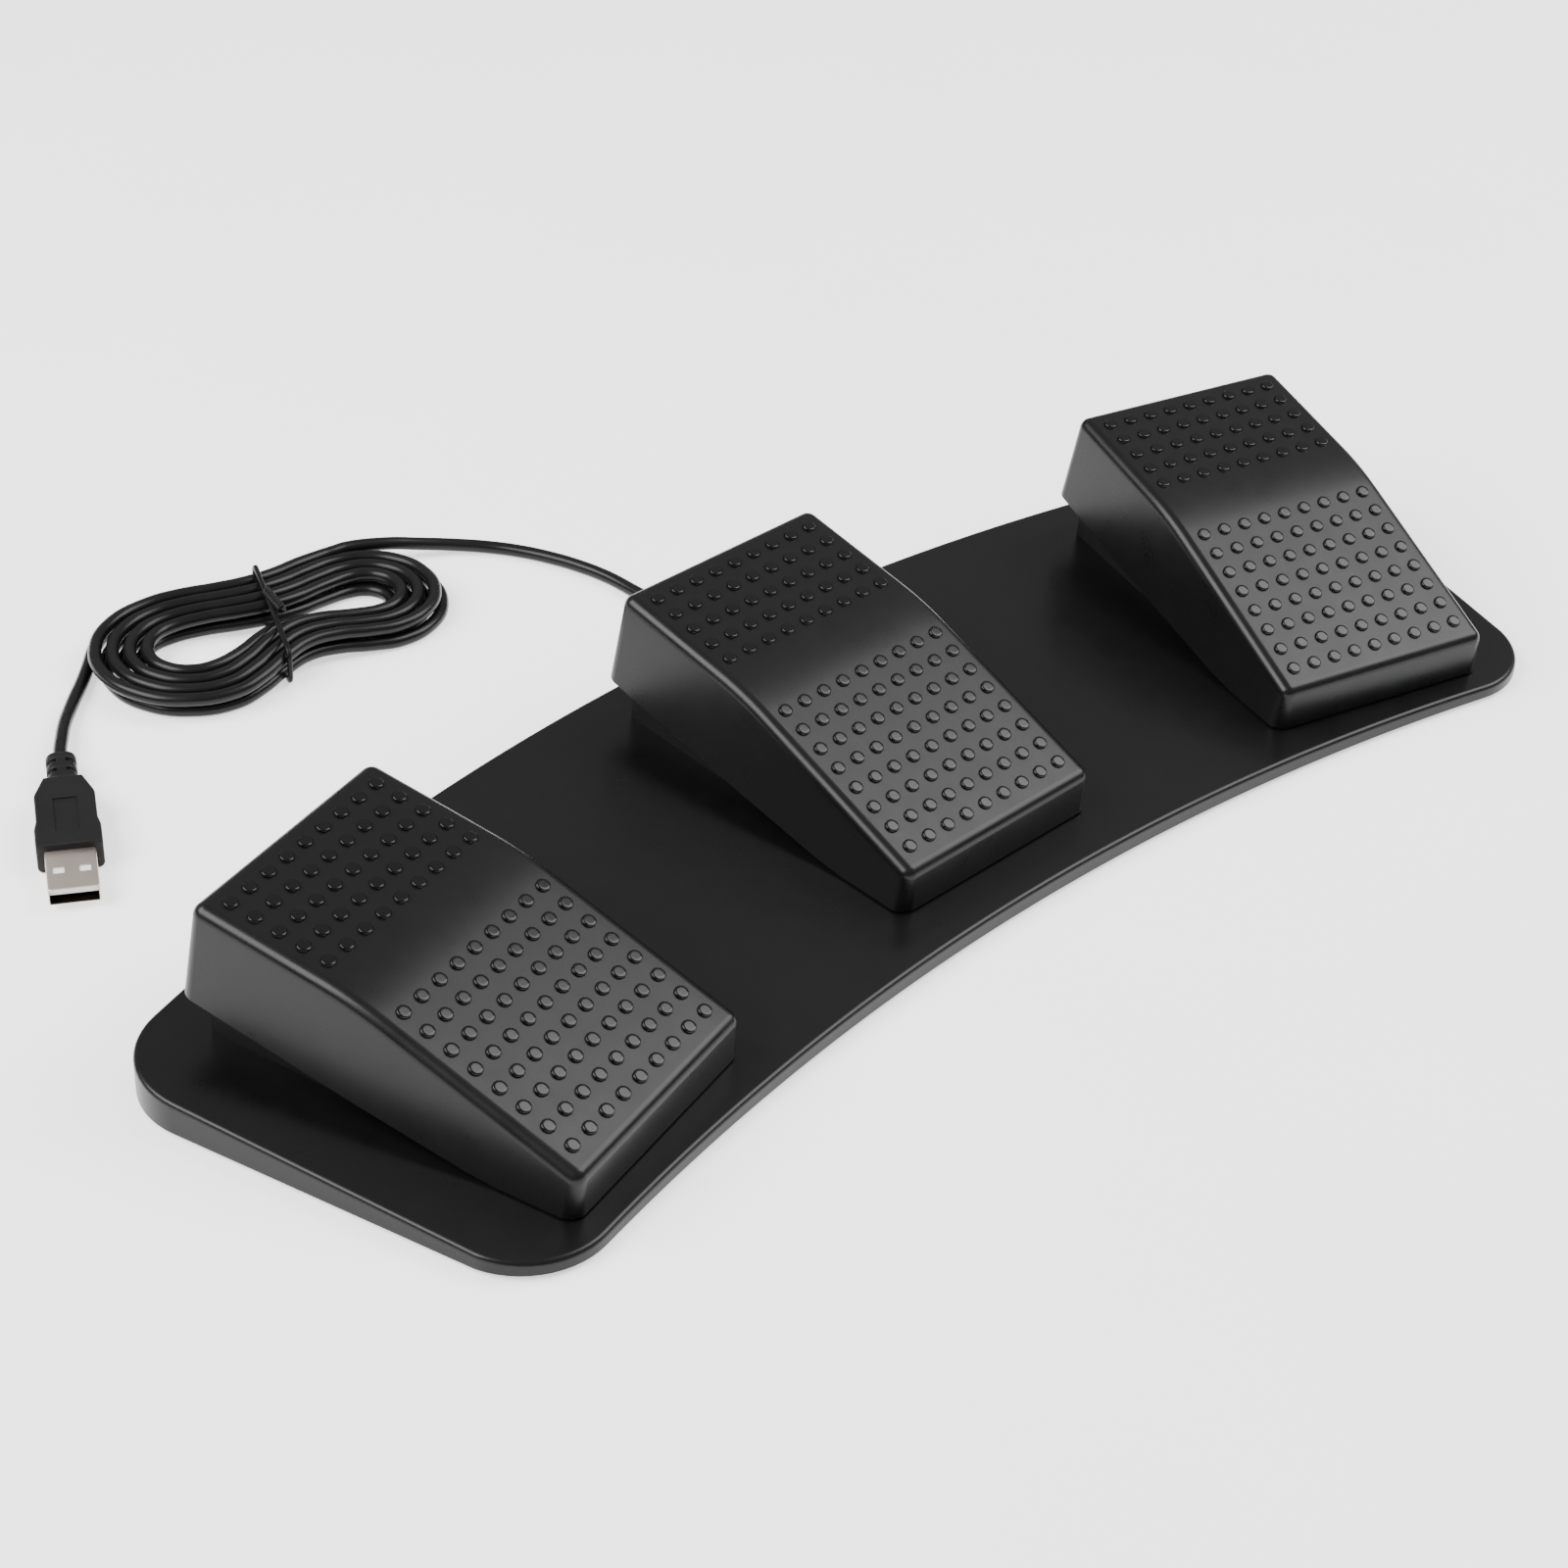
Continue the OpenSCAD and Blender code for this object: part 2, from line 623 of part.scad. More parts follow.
// Circuit board with its controller, crystal and wire connectors on the lower side
module controller_board() color("#1f5c3a") on_deck() difference() {
    under = board_top - board_t;
    union() {
        translate([board_x[0], board_y[0], under])
            cube([board_x[1] - board_x[0], board_y[1] - board_y[0], board_t]);
        translate([chip_at.x, chip_at.y, under - chip.z]) cube(chip + [0, 0, merge]);
        translate([crystal_at.x, crystal_at.y, under - crystal.z]) cube(crystal + [0, 0, merge]);
        for (x = [board_x[0], board_x[1] - connector.x])
            translate([x, connector_y - connector.y / 2, under - connector.z]) cube(connector + [0, 0, merge]);
        translate([exit_x - connector.y / 2, board_y[1] - connector.x, under - connector.z])
            cube([connector.y, connector.x, connector.z + merge]);
    }
    for (p = board_screw_at)
        translate([p.x, p.y, under - past]) cylinder(r = board_screw_r + hole_gap, h = board_t + 2 * past);
}

module board_screws() color("#8d8f92") on_deck() for (p = board_screw_at) {
    under = board_top - board_t;
    translate([p.x, p.y, under - board_head_h]) cylinder(r = 2 * board_screw_r, h = board_head_h);
    translate([p.x, p.y, under - merge])
        cylinder(r = board_screw_r, h = merge + board_t + board_screw_reach);
}

// Moulded bush and tapered boot that hold the cord in the rear wall
module cable_grommet() color("#161616") on_base() translate([exit_x, exit_y, exit_z]) rotate([-90, 0, 0]) {
    neck = -base_wall - flange_gap;
    neck_r = grommet_hole_r - grommet_fit;
    rotate_extrude() polygon([
        [0, neck - grommet_flange_t], [grommet_flange_r, neck - grommet_flange_t], [grommet_flange_r, neck],
        [neck_r, neck], [neck_r, flange_gap], [boot_base_r, flange_gap], [boot_base_r, boot_collar],
        [boot_tip_r, boot_len], [0, boot_len]
    ]);
}

// Stripped end of the cord, from the bush to the board
module inner_usb_lead() color("#1a1a1a") on_base() tube(usb_path, wire_d, 6);

// Outer form of a pedal cover drawn in by an inset, with its walls carried below the skirt
module cover_form(inset, facets) hull() for (s = [-1, 1]) {
    for (c = crest) translate([s * crest_x, c.x, c.y]) sphere(tread_edge - inset, $fn = facets);
    for (p = skirt) translate([s * p.x, p.y, trim_z])
        cylinder(r = skirt_corner - inset, h = merge, $fn = facets);
}

// What is left of the cover above its lower edge, which rises behind the hinge to let the pedal turn
module skirt_trim() rotate([90, 0, 90]) linear_extrude(2 * cover_w, center = true) polygon([
    [-2 * cover_front, skirt_gap], [0, skirt_gap],
    [2 * cover_rear, skirt_gap + 2 * cover_rear * tan(skirt_rise)],
    [2 * cover_rear, 2 * tread_h], [-2 * cover_front, 2 * tread_h]
]);

// A low stud with a flat top and a rounded rim
module bump() {
    rim = [bump_d / 2 - bump_edge, bump_h - bump_edge];
    rotate_extrude($fn = 24) polygon(concat(
        [[0, -bump_h / 2], [bump_d / 2, -bump_h / 2], [bump_d / 2, rim.y]],
        arc(rim, bump_edge, 0, 90, 3), [[0, bump_h]]
    ));
}

// One field of bumps on a panel of the tread
module bump_field(y, slope, rows) translate([0, y, tread_z(y)]) rotate([slope, 0, 0])
    for (c = [0:bump_cols - 1], r = [0:rows - 1])
        translate([(c - (bump_cols - 1) / 2) * bump_pitch, (r - (rows - 1) / 2) * bump_pitch, 0]) bump();

// Hinge lugs, spring seat and switch rib below the tread
module cover_inside() {
    for (s = [-1, 1]) translate([s * lug_x, 0, hinge_h]) rotate([90, 0, 90])
        linear_extrude(lug_t, center = true) {
            circle(lug_r);
            translate([-lug_r, 0]) square([2 * lug_r, tread_h]);
        }
    translate([0, spring_y, spring_top]) cylinder(r = spring_d / 2 + spring_wire + 1, h = tread_h);
    translate([0, spring_y, spring_top - spring_post_h + 0.6]) cylinder(r = spring_post_r, h = spring_post_h);
    translate([switch_x - rib_w / 2, rib_y - rib_r, rib_h + rib_r]) cube([rib_w, 2 * rib_r, tread_h]);
    translate([switch_x, rib_y, rib_h + rib_r]) along_x(rib_r, rib_w);
}

// Pedal cover: a thin moulded shell with a bumped tread
module cover(side) color("#1e1e20") on_pedal(side) difference() {
    union() {
        difference() {
            intersection() {
                cover_form(0, 32);
                skirt_trim();
            }
            cover_form(cover_wall, 16);
        }
        bump_field(rear_field_y, rear_slope, rear_rows);
        bump_field(front_field_y, front_slope, front_rows);
        intersection() {
            cover_form(cover_wall / 2, 16);
            cover_inside();
        }
    }
    translate([0, 0, hinge_h]) along_x(pin_r + run_gap, 2 * (lug_x + lug_t));
}

// Pedestal: an open tray that carries the hinge, the spring and the switch
module pedestal(side) color("#18181a") on_pedal(side) difference() {
    union() {
        difference() {
            rotate([90, 0, 90]) linear_extrude(pedestal_w, center = true) polygon([
                [-pedestal_front, 0], [pedestal_rear, 0], [pedestal_rear, pedestal_rear_h],
                [0, pedestal_front_h], [-pedestal_front, hinge_h]
            ]);
            translate([pedestal_wall - pedestal_x, pedestal_wall - pedestal_front, pedestal_floor])
                cube([pedestal_w, pedestal_rear + pedestal_front, tread_h] - 2 * pedestal_wall * [1, 1, 0]);
        }
        for (p = pedestal_screw_at) translate([p.x, p.y, 0]) cylinder(r = pedestal_boss_r, h = pedestal_boss_h);
        translate([0, spring_y, 0]) cylinder(r = spring_post_r, h = pedestal_floor + spring_post_h);
        translate([switch_x + switch_w / 2 + hole_gap, switch_y, pedestal_floor - merge])
            cube([support_t, switch_len, support_h + merge]);
        for (s = [-1, 1])
            translate([switch_x + hole_gap + merge, switch_y + switch_len / 2 + s * peg_spread / 2, peg_h])
                along_x(peg_r, switch_w);
    }
    translate([0, 0, hinge_h]) along_x(pin_r + seat_gap, 2 * pedestal_w);
    for (p = pedestal_screw_at) translate([p.x, p.y, -past])
        cylinder(r = pedestal_screw_r + seat_gap, h = past + pedestal_screw_reach + hole_gap);
    translate([wire_hole.x, wire_hole.y, -past]) cylinder(r = wire_hole_r, h = pedestal_floor + 2 * past);
}

// Screws driven up through the deck into the pedestal's bosses
module pedestal_screws(side) color("#8d8f92") on_pedal(side)
    for (p = pedestal_screw_at) translate([p.x, p.y, -deck_t]) {
        translate([0, 0, -screw_head_h]) cylinder(r = 2 * pedestal_screw_r, h = screw_head_h);
        translate([0, 0, -merge]) cylinder(r = pedestal_screw_r, h = merge + deck_t + pedestal_screw_reach);
    }

module hinge_pin(side) color("#b9bcc0") on_pedal(side)
    translate([0, 0, hinge_h]) along_x(pin_r, pedestal_w - 2 * hole_gap);

// Return spring between the pedestal's floor and the cover's seat
module return_spring(side) color("#c4c6ca") on_pedal(side) {
    low = pedestal_floor + spring_rest_gap + spring_wire / 2;
    high = spring_top - spring_rest_gap - spring_wire / 2;
    tube([for (k = [0:8 * spring_turns])
        let (turn = k / 8)
        concat(spring_d / 2 * dir(360 * turn), low + (high - low) * turn / spring_turns) + [0, spring_y, 0]],
        spring_wire, 6);
}

// Snap-action switch with ears for its lever, and blades for the wires
module microswitch(side) color("#26282b") on_pedal(side) difference() {
    ear_h = lever_pivot_h + 2 * pivot_pin_r;
    union() {
        translate([switch_x - switch_w / 2, switch_y, pedestal_floor]) cube([switch_w, switch_len, switch_h]);
        for (s = [-1, 1]) translate([switch_x + s * (switch_w - ear_t) / 2, pivot_y, switch_top - merge])
            linear_extrude(ear_h + merge) square([ear_t, ear_w], center = true);
        translate([switch_x, pivot_y, pivot_z]) along_x(pivot_pin_r, switch_w - ear_t);
        for (s = [-1, 1]) translate([switch_x + s * terminal_x, switch_y + switch_len - past, terminal_z])
            translate([-terminal.x / 2, 0, -terminal.z / 2]) cube(terminal + [0, past, 0]);
    }
    for (s = [-1, 1])
        translate([switch_x, switch_y + switch_len / 2 + s * peg_spread / 2, peg_h])
            along_x(peg_r + seat_gap, 2 * switch_w);
    translate([switch_x, plunger_y, plunger_top - plunger_len - plunger_travel - touch_gap])
        cylinder(r = plunger_d / 2 + run_gap, h = switch_h);
}

// Sheet-steel lever that the rib on the cover presses
module switch_lever(side) color("#c9ccd0") on_pedal(side)
    translate([switch_x, pivot_y, pivot_z]) rotate([lever_rest, 0, 0]) difference() {
        union() {
            along_x(barrel_r, lever_w);
            translate([-lever_w / 2, 0, -lever_t]) cube([lever_w, lever_len, lever_t]);
        }
        along_x(pivot_pin_r + run_gap, 2 * lever_w);
    }

module switch_plunger(side) color("#b03a2e") on_pedal(side)
    translate([switch_x, plunger_y, plunger_top - plunger_len]) cylinder(r = plunger_d / 2, h = plunger_len);

// Pair of wires from a switch's blades through the deck, and on along a route to the board
module switch_wire(side, route) color("#7a1f1f") on_deck() for (s = [-1, 1]) {
    blade_x = switch_x + s * terminal_x;
    blade_end = switch_y + switch_len + terminal.y;
    bend_z = s > 0 ? terminal_z - wire_d : pedestal_floor + wire_d;
    down = [for (z = [bend_z, -deck_t, board_top + wire_gap])
        [wire_hole.x, wire_hole.y + s * wire_pair, z]];
    start = [for (reach = [wire_gap, wire_d]) [blade_x, blade_end + reach, terminal_z]];
    tube(concat(
        [for (p = concat(start, down)) from_pedal(p, side)],
        [for (p = route) p + [0, s * wire_pair, 0]]
    ), wire_d, 6, [1, 0, 0]);
}

// Cord: from the boot to the hank, the wound hank, and from the hank to the plug
module cord_lead() color("#141414") tube(lead_path, cord_d, 8);
module cord_hank() color("#141414") tube([for (p = hank_path) hank_place(p)], cord_d, 6);
module cord_tail() color("#141414") tube(tail_path, cord_d, 8);

// Wire tie drawn round the hank's waist, with its ends twisted on top
module hank_tie() color("#0f0f0f")
translate(hank_place([tie_at.x, tie_at.y, 0])) rotate([0, 0, hank_angle + tie_turn]) {
    tie_r = tie_d / 2;
    top = cord_z + hank_layer + hank_lift + cord_d / 2 + tie_gap + tie_r;
    reach = (hank_half_w - hank_waist + cord_d / 2 + tie_gap + tie_r) / cos(tie_turn) + tie_slack;
    run_x = reach - tie_bend;
    run_y = (top - tie_r) / 2 - tie_bend;
    translate([0, 0, (top + tie_r) / 2]) rotate([90, 0, 90]) {
        for (c = [0:3]) rotate([0, 0, 90 * c]) translate(c % 2 == 0 ? [run_x, run_y] : [run_y, run_x])
            rotate_extrude(angle = 90, $fn = 24) translate([tie_bend, 0]) circle(tie_r);
        for (s = [-1, 1]) {
            translate([s * (run_x + tie_bend), 0, 0]) rotate([0, 0, 90]) along_x(tie_r, 2 * run_y);
            translate([0, s * (run_y + tie_bend), 0]) along_x(tie_r, 2 * run_x);
        }
    }
    translate([0, tie_twist_at, top + tie_r]) rotate([0, 90, tie_twist_turn])
        cylinder(r = tie_twist_r, h = tie_twist_len);
}

// Plug frame: X runs from the cord's end to the tip
module on_plug() translate(plug_entry) rotate([0, 0, plug_angle]) children();

// Strain relief: flat rings on a neck, joined by a bridge above and below
module relief_slice(size, from, length) {
    y = size.x / 2;
    z = size.y / 2;
    translate([from, 0, 0]) rotate([90, 0, 90]) linear_extrude(length) polygon([
        [y, z - relief_cut], [y - relief_cut, z], [relief_cut - y, z], [-y, z - relief_cut],
        [-y, relief_cut - z], [relief_cut - y, -z], [y - relief_cut, -z], [y, relief_cut - z]
    ]);
}
module plug_relief() {
    relief_slice(relief_neck, 0, relief_len + merge);
    for (k = [0:relief_ribs - 1]) relief_slice(relief_rib, k * relief_len / relief_ribs, relief_rib_t);
    translate([0, -relief_bridge.x / 2, -relief_bridge.y / 2])
        cube([relief_len + merge, relief_bridge.x, relief_bridge.y]);
}

// Moulded grip: its plan cut by a section with bevelled lower edges, and a blank panel sunk into the top
module plug_grip() color("#1a1a1b") on_plug() difference() {
    side = [
        [relief_len, grip_root_w / 2], [relief_len + grip_shoulder, grip_w / 2],
        [grip_end - mouth_from, grip_w / 2], [grip_end - mouth_to, mouth_w / 2], [grip_end, mouth_w / 2]
    ];
    y = mouth_w / 2 + past;
    z = grip_t / 2 + past;
    cut = grip_cut + 2 * past;
    union() {
        plug_relief();
        intersection() {
            linear_extrude(grip_t, center = true)
                polygon(concat(side, [for (k = [len(side) - 1:-1:0]) [side[k].x, -side[k].y]]));
            rotate([90, 0, 90]) linear_extrude(grip_end + past)
                polygon([[-y, z], [y, z], [y, cut - z], [y - cut, -z], [cut - y, -z], [-y, cut - z]]);
        }
    }
    translate([relief_len + grip_shoulder + label_from, -label_w / 2, grip_t / 2 - label_sink])
        cube([label_len, label_w, past]);
}

// Folded metal shell with two latch windows in each broad face
module plug_shell() color("#c3c5c8") on_plug() translate([grip_end, 0, 0]) difference() {
    translate([0, -shell_w / 2, -shell_h / 2]) cube([shell_len, shell_w, shell_h]);
    translate([shell_back, shell_t - shell_w / 2, shell_t - shell_h / 2])
        cube([shell_len, shell_w - 2 * shell_t, shell_h - 2 * shell_t]);
    for (s = [-1, 1]) translate([shell_len - window_from, s * window_y - shell_window.y / 2, -shell_h])
        cube([shell_window.x, shell_window.y, 2 * shell_h]);
}

// Insulating tongue below the shell's upper face, and the four contacts on its lower side
module plug_tongue() color("#e6e6e3") on_plug()
    translate([grip_end + shell_back, shell_t + grommet_fit - shell_w / 2, shell_h / 2 - shell_t - tongue_t])
        cube([shell_len - shell_back - tongue_inset, shell_w - 2 * shell_t - 2 * grommet_fit, tongue_t]);
module plug_contacts() color("#d8b24a") on_plug() for (k = [-1.5:1:1.5])
    translate([
        grip_end + 2 * shell_back, k * contact_pitch - contact_w / 2,
        shell_h / 2 - shell_t - tongue_t - contact_t
    ]) cube([shell_len - 3 * shell_back - 2 * tongue_inset, contact_w, contact_t]);

base_shell();
bottom_plate();
bottom_screws();
rubber_feet();
controller_board();
board_screws();
cable_grommet();
inner_usb_lead();
pedestal(-1);  // left_pedestal
pedestal(0);  // middle_pedestal
pedestal(1);  // right_pedestal
pedestal_screws(-1);  // left_pedestal_screws
pedestal_screws(0);  // middle_pedestal_screws
pedestal_screws(1);  // right_pedestal_screws
cover(-1);  // left_cover
cover(0);  // middle_cover
cover(1);  // right_cover
hinge_pin(-1);  // left_hinge_pin
hinge_pin(0);  // middle_hinge_pin
hinge_pin(1);  // right_hinge_pin
return_spring(-1);  // left_return_spring
return_spring(0);  // middle_return_spring
return_spring(1);  // right_return_spring
microswitch(-1);  // left_microswitch
microswitch(0);  // middle_microswitch
microswitch(1);  // right_microswitch
switch_lever(-1);  // left_switch_lever
switch_lever(0);  // middle_switch_lever
switch_lever(1);  // right_switch_lever
switch_plunger(-1);  // left_switch_plunger
switch_plunger(0);  // middle_switch_plunger
switch_plunger(1);  // right_switch_plunger
switch_wire(-1, concat(left_wire, wire_end(board_x[0], -1)));  // left_switch_wire
switch_wire(0, []);  // middle_switch_wire
switch_wire(1, concat(right_wire, wire_end(board_x[1], 1)));  // right_switch_wire
cord_lead();
cord_hank();
cord_tail();
hank_tie();
plug_grip();
plug_shell();
plug_tongue();
plug_contacts();
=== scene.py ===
# Three-pedal USB foot switch in black plastic, with its cord tied in a hank behind it.
# Lengths are in millimetres until a point is placed in the scene.
import math

import bpy
import bmesh
from mathutils import Matrix, Vector


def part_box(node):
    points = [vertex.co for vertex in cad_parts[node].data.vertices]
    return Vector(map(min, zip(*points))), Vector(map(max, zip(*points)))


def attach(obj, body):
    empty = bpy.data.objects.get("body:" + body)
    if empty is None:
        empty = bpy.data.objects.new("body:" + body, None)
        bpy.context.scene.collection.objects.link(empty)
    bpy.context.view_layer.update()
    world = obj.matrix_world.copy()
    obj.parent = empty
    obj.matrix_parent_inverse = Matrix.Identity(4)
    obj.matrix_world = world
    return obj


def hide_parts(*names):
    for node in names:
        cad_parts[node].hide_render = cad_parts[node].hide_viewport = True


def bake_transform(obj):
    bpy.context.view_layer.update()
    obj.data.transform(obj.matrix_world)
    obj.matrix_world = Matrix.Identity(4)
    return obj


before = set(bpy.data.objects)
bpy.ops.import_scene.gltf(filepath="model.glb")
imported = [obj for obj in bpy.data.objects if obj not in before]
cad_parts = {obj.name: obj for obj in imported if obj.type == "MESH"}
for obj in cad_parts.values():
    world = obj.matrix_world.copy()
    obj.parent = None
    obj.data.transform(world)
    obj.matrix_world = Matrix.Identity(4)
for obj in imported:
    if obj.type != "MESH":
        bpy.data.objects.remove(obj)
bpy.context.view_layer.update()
MM = 0.001


# Camera and studio: a lit white floor in a dim room, with one soft box high in front on the right
# and one high on the left. The black plastic shows the floor on its walls, the boxes on its front
# panels and rounded edges, and the dim room on the rest.
camera_at = Vector((-501.08, -453.25, 478.54))
camera_turn = (55.082, -1.879, -44.588)
camera_data = bpy.data.cameras.new("camera")
camera_data.lens = 78.0
camera_data.sensor_width = 36.0
camera_data.clip_start = 0.01
camera = bpy.data.objects.new("camera", camera_data)
camera.location = camera_at * MM
camera.rotation_euler = [math.radians(a) for a in camera_turn]
bpy.context.scene.collection.objects.link(camera)
bpy.context.scene.camera = camera


def linear(colour):
    """Turns an sRGB hex colour into linear red, green, blue and alpha."""
    parts = [int(colour[k:k + 2], 16) / 255 for k in (1, 3, 5)]
    return [c / 12.92 if c <= 0.04045 else ((c + 0.055) / 1.055) ** 2.4 for c in parts] + [1.0]


def add_node(tree, kind, sockets=None, **settings):
    """Adds a node with its settings, and fills its inputs with values or links."""
    node = tree.nodes.new(kind)
    for name, value in settings.items():
        setattr(node, name, value)
    for key, value in (sockets or {}).items():
        if isinstance(value, bpy.types.NodeSocket):
            tree.links.new(value, node.inputs[key])
        else:
            node.inputs[key].default_value = value
    return node


def soft_box(name, at, size, power):
    """A rectangular soft box that faces the object, placed and sized in metres, with power in watts."""
    data = bpy.data.lights.new(name, "AREA")
    data.shape = "RECTANGLE"
    data.size, data.size_y = size
    data.energy = power
    lamp = bpy.data.objects.new(name, data)
    lamp.location = at
    lamp.rotation_euler = (-Vector(at)).to_track_quat("-Z", "Y").to_euler()
    bpy.context.scene.collection.objects.link(lamp)


soft_box("front_box", (0.92, -0.44, 1.13), (0.9, 1.15), 26.0)
soft_box("left_box", (-0.95, 0.42, 1.0), (1.2, 0.8), 34.0)

room_low, room_high = 0.15, 0.64
room = bpy.data.worlds.new("studio room")
room.use_nodes = True
room.node_tree.nodes.clear()
bpy.context.scene.world = room
look = add_node(room.node_tree, "ShaderNodeTexCoord").outputs["Generated"]
height = add_node(room.node_tree, "ShaderNodeSeparateXYZ", {"Vector": look}).outputs["Z"]
shade = add_node(room.node_tree, "ShaderNodeMapRange", {
    "Value": height, "From Min": 0.1, "From Max": 0.7, "To Min": room_low, "To Max": room_high})
sky = add_node(room.node_tree, "ShaderNodeBackground", {
    "Color": (1.0, 1.0, 1.0, 1.0), "Strength": shade.outputs["Result"]})
add_node(room.node_tree, "ShaderNodeOutputWorld", {"Surface": sky.outputs["Background"]})


def grained(name, tones, grain, gloss, relief=0.0, metal=0.0, glow=0.0, ior=1.33):
    """A material with a grain and a relief in mm, whose tone and roughness drift over broad patches.

    An IOR below that of the clear polymer gives a plastic the weak mirror of the real skin.
    """
    patch = 40 * grain
    material = bpy.data.materials.new(name)
    material.use_nodes = True
    tree = material.node_tree
    tree.nodes.clear()
    place = add_node(tree, "ShaderNodeTexCoord").outputs["Object"]
    broad = add_node(tree, "ShaderNodeTexNoise", {
        "Vector": place, "Scale": 1 / (patch * MM), "Detail": 2.0})
    tone = add_node(tree, "ShaderNodeMix", {
        "Factor": broad.outputs["Fac"], "A": linear(tones[0]), "B": linear(tones[1])}, data_type="RGBA")
    rough = add_node(tree, "ShaderNodeMapRange", {
        "Value": broad.outputs["Fac"], "From Min": 0.3, "From Max": 0.7,
        "To Min": gloss[0], "To Max": gloss[1]})
    shader = add_node(tree, "ShaderNodeBsdfPrincipled", {
        "Base Color": tone.outputs["Result"], "Roughness": rough.outputs["Result"], "Metallic": metal})
    if not metal:
        shader.inputs["IOR"].default_value = ior
    if glow:
        tree.links.new(tone.outputs["Result"], shader.inputs["Emission Color"])
        shader.inputs["Emission Strength"].default_value = glow
    if relief:
        fine = add_node(tree, "ShaderNodeTexNoise", {
            "Vector": place, "Scale": 1 / (grain * MM), "Detail": 3.0})
        pits = add_node(tree, "ShaderNodeBump", {
            "Height": fine.outputs["Fac"], "Strength": 1.0, "Distance": relief * MM})
        tree.links.new(pits.outputs["Normal"], shader.inputs["Normal"])
    add_node(tree, "ShaderNodeOutputMaterial", {"Surface": shader.outputs["BSDF"]})
    return material


# Frosted opal acrylic, lit from below: an even white without a sheen.
opal = grained("frosted opal acrylic", ("#f4f4f4", "#f8f8f8"), 2.0, (0.85, 0.95), glow=1.2)
floor_half = 6
floor_mesh = bpy.data.meshes.new("floor")
floor_mesh.from_pydata([
    (-floor_half, -floor_half, 0), (floor_half, -floor_half, 0),
    (floor_half, floor_half, 0), (-floor_half, floor_half, 0)], [], [(0, 1, 2, 3)])
floor_mesh.materials.append(opal)
floor = bpy.data.objects.new("floor", floor_mesh)
bpy.context.scene.collection.objects.link(floor)


# Cord: one length of round cable in glossy black extruded PVC. It leaves the boot in the rear wall,
# lies along the floor, is wound into a hank of seven and a quarter turns in two layers, drawn in at
# the waist by its tie, and runs on to the moulded plug.
cord_d, cord_z = 3.5, 1.8
boot_low, boot_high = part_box("cable_grommet")
boot_end = Vector(((boot_low.x + boot_high.x) / 2, boot_high.y, (boot_low.z + boot_high.z) / 2)) / MM
lead_route = [
    (22, 87, 6), (22.2, 94.5, 4.6), (22.6, 103, 2.6), (23, 112, 1.8), (22.5, 123, 1.8), (20.5, 132.5, 1.8),
    (17.5, 141, 1.8), (13.5, 149, 1.8), (8.5, 156, 1.9), (2, 161.7, 2.6), (-6, 166.8, 3.8), (-14, 171, 5.2),
]
tail_route = [
    (-94, 188, 1.8), (-100, 184, 1.8), (-105.5, 178.6, 1.8), (-111, 173.4, 1.8), (-116.5, 168.6, 1.9),
    (-121.7, 163.8, 2.2), (-126.5, 158.8, 2.9), (-131, 153.3, 3.6),
]
hank_turns, hank_rings, hank_change = 7.25, 24, 0.25
hank_run, hank_half_w, hank_skew = 25.0, 24.2, 2.0
hank_waist, hank_step, hank_layer = 5.6, 4.4, 4.0
hank_lift, hank_lift_reach = 1.9, 16.0
hank_place = Matrix.Translation((-59.5, 158.8, 0)) @ Matrix.Rotation(math.radians(-9), 4, "Z")
plug_entry = Vector((-137, 144.9, 4))
plug_place = Matrix.Translation(plug_entry) @ Matrix.Rotation(math.radians(-121.5), 4, "Z")


def hank_width(u, t):
    """Half width of turn t at u along the hank: drawn in at the waist, wider on the left."""
    lane = hank_step * min(t, hank_turns - t)
    waist = hank_waist * (1 + math.cos(math.pi * u / hank_run)) / 2
    return hank_half_w - lane - hank_skew * math.sin(math.pi / 2 * u / hank_run) - waist


def hank_point(t):
    """The cord's middle at turn t: rear run, left lobe, front run and right lobe in order.

    Half way, over hank_change of a turn, the cord goes from the upper layer to the lower one.
    """
    quarter, q = divmod((t % 1) * 4, 1)
    side = 1 if quarter < 2 else -1
    x = side * (1 - 2 * q) * hank_run
    y = side * hank_width(x, t)
    if quarter % 2:
        reach, angle = hank_width(-side * hank_run, t), math.radians(side * 90 + 180 * q)
        x, y = reach * math.cos(angle) - side * hank_run, reach * math.sin(angle)
    lift = hank_lift * math.exp(-(x / hank_lift_reach) ** 2) if abs(x) < hank_run else 0
    change = (t - (hank_turns - hank_change) / 2) / hank_change
    return Vector((x, y, cord_z + hank_layer * (1 - max(0, min(1, change))) + lift))


hank_path = [hank_place @ hank_point(k / hank_rings) for k in range(int(hank_turns * hank_rings) + 1)]
hank_stub = cord_d * (hank_place.to_3x3() @ Vector((1, 0, 0)))
plug_stub = cord_d * (plug_place.to_3x3() @ Vector((1, 0, 0)))
cord_path = [
    boot_end, boot_end + Vector((0, cord_d, 0)), *[Vector(p) for p in lead_route],
    hank_path[0] + 2 * hank_stub, hank_path[0] + hank_stub, *hank_path,
    hank_path[-1] - hank_stub, hank_path[-1] - 2 * hank_stub,
    *[Vector(p) for p in tail_route], plug_entry - plug_stub, plug_entry,
]


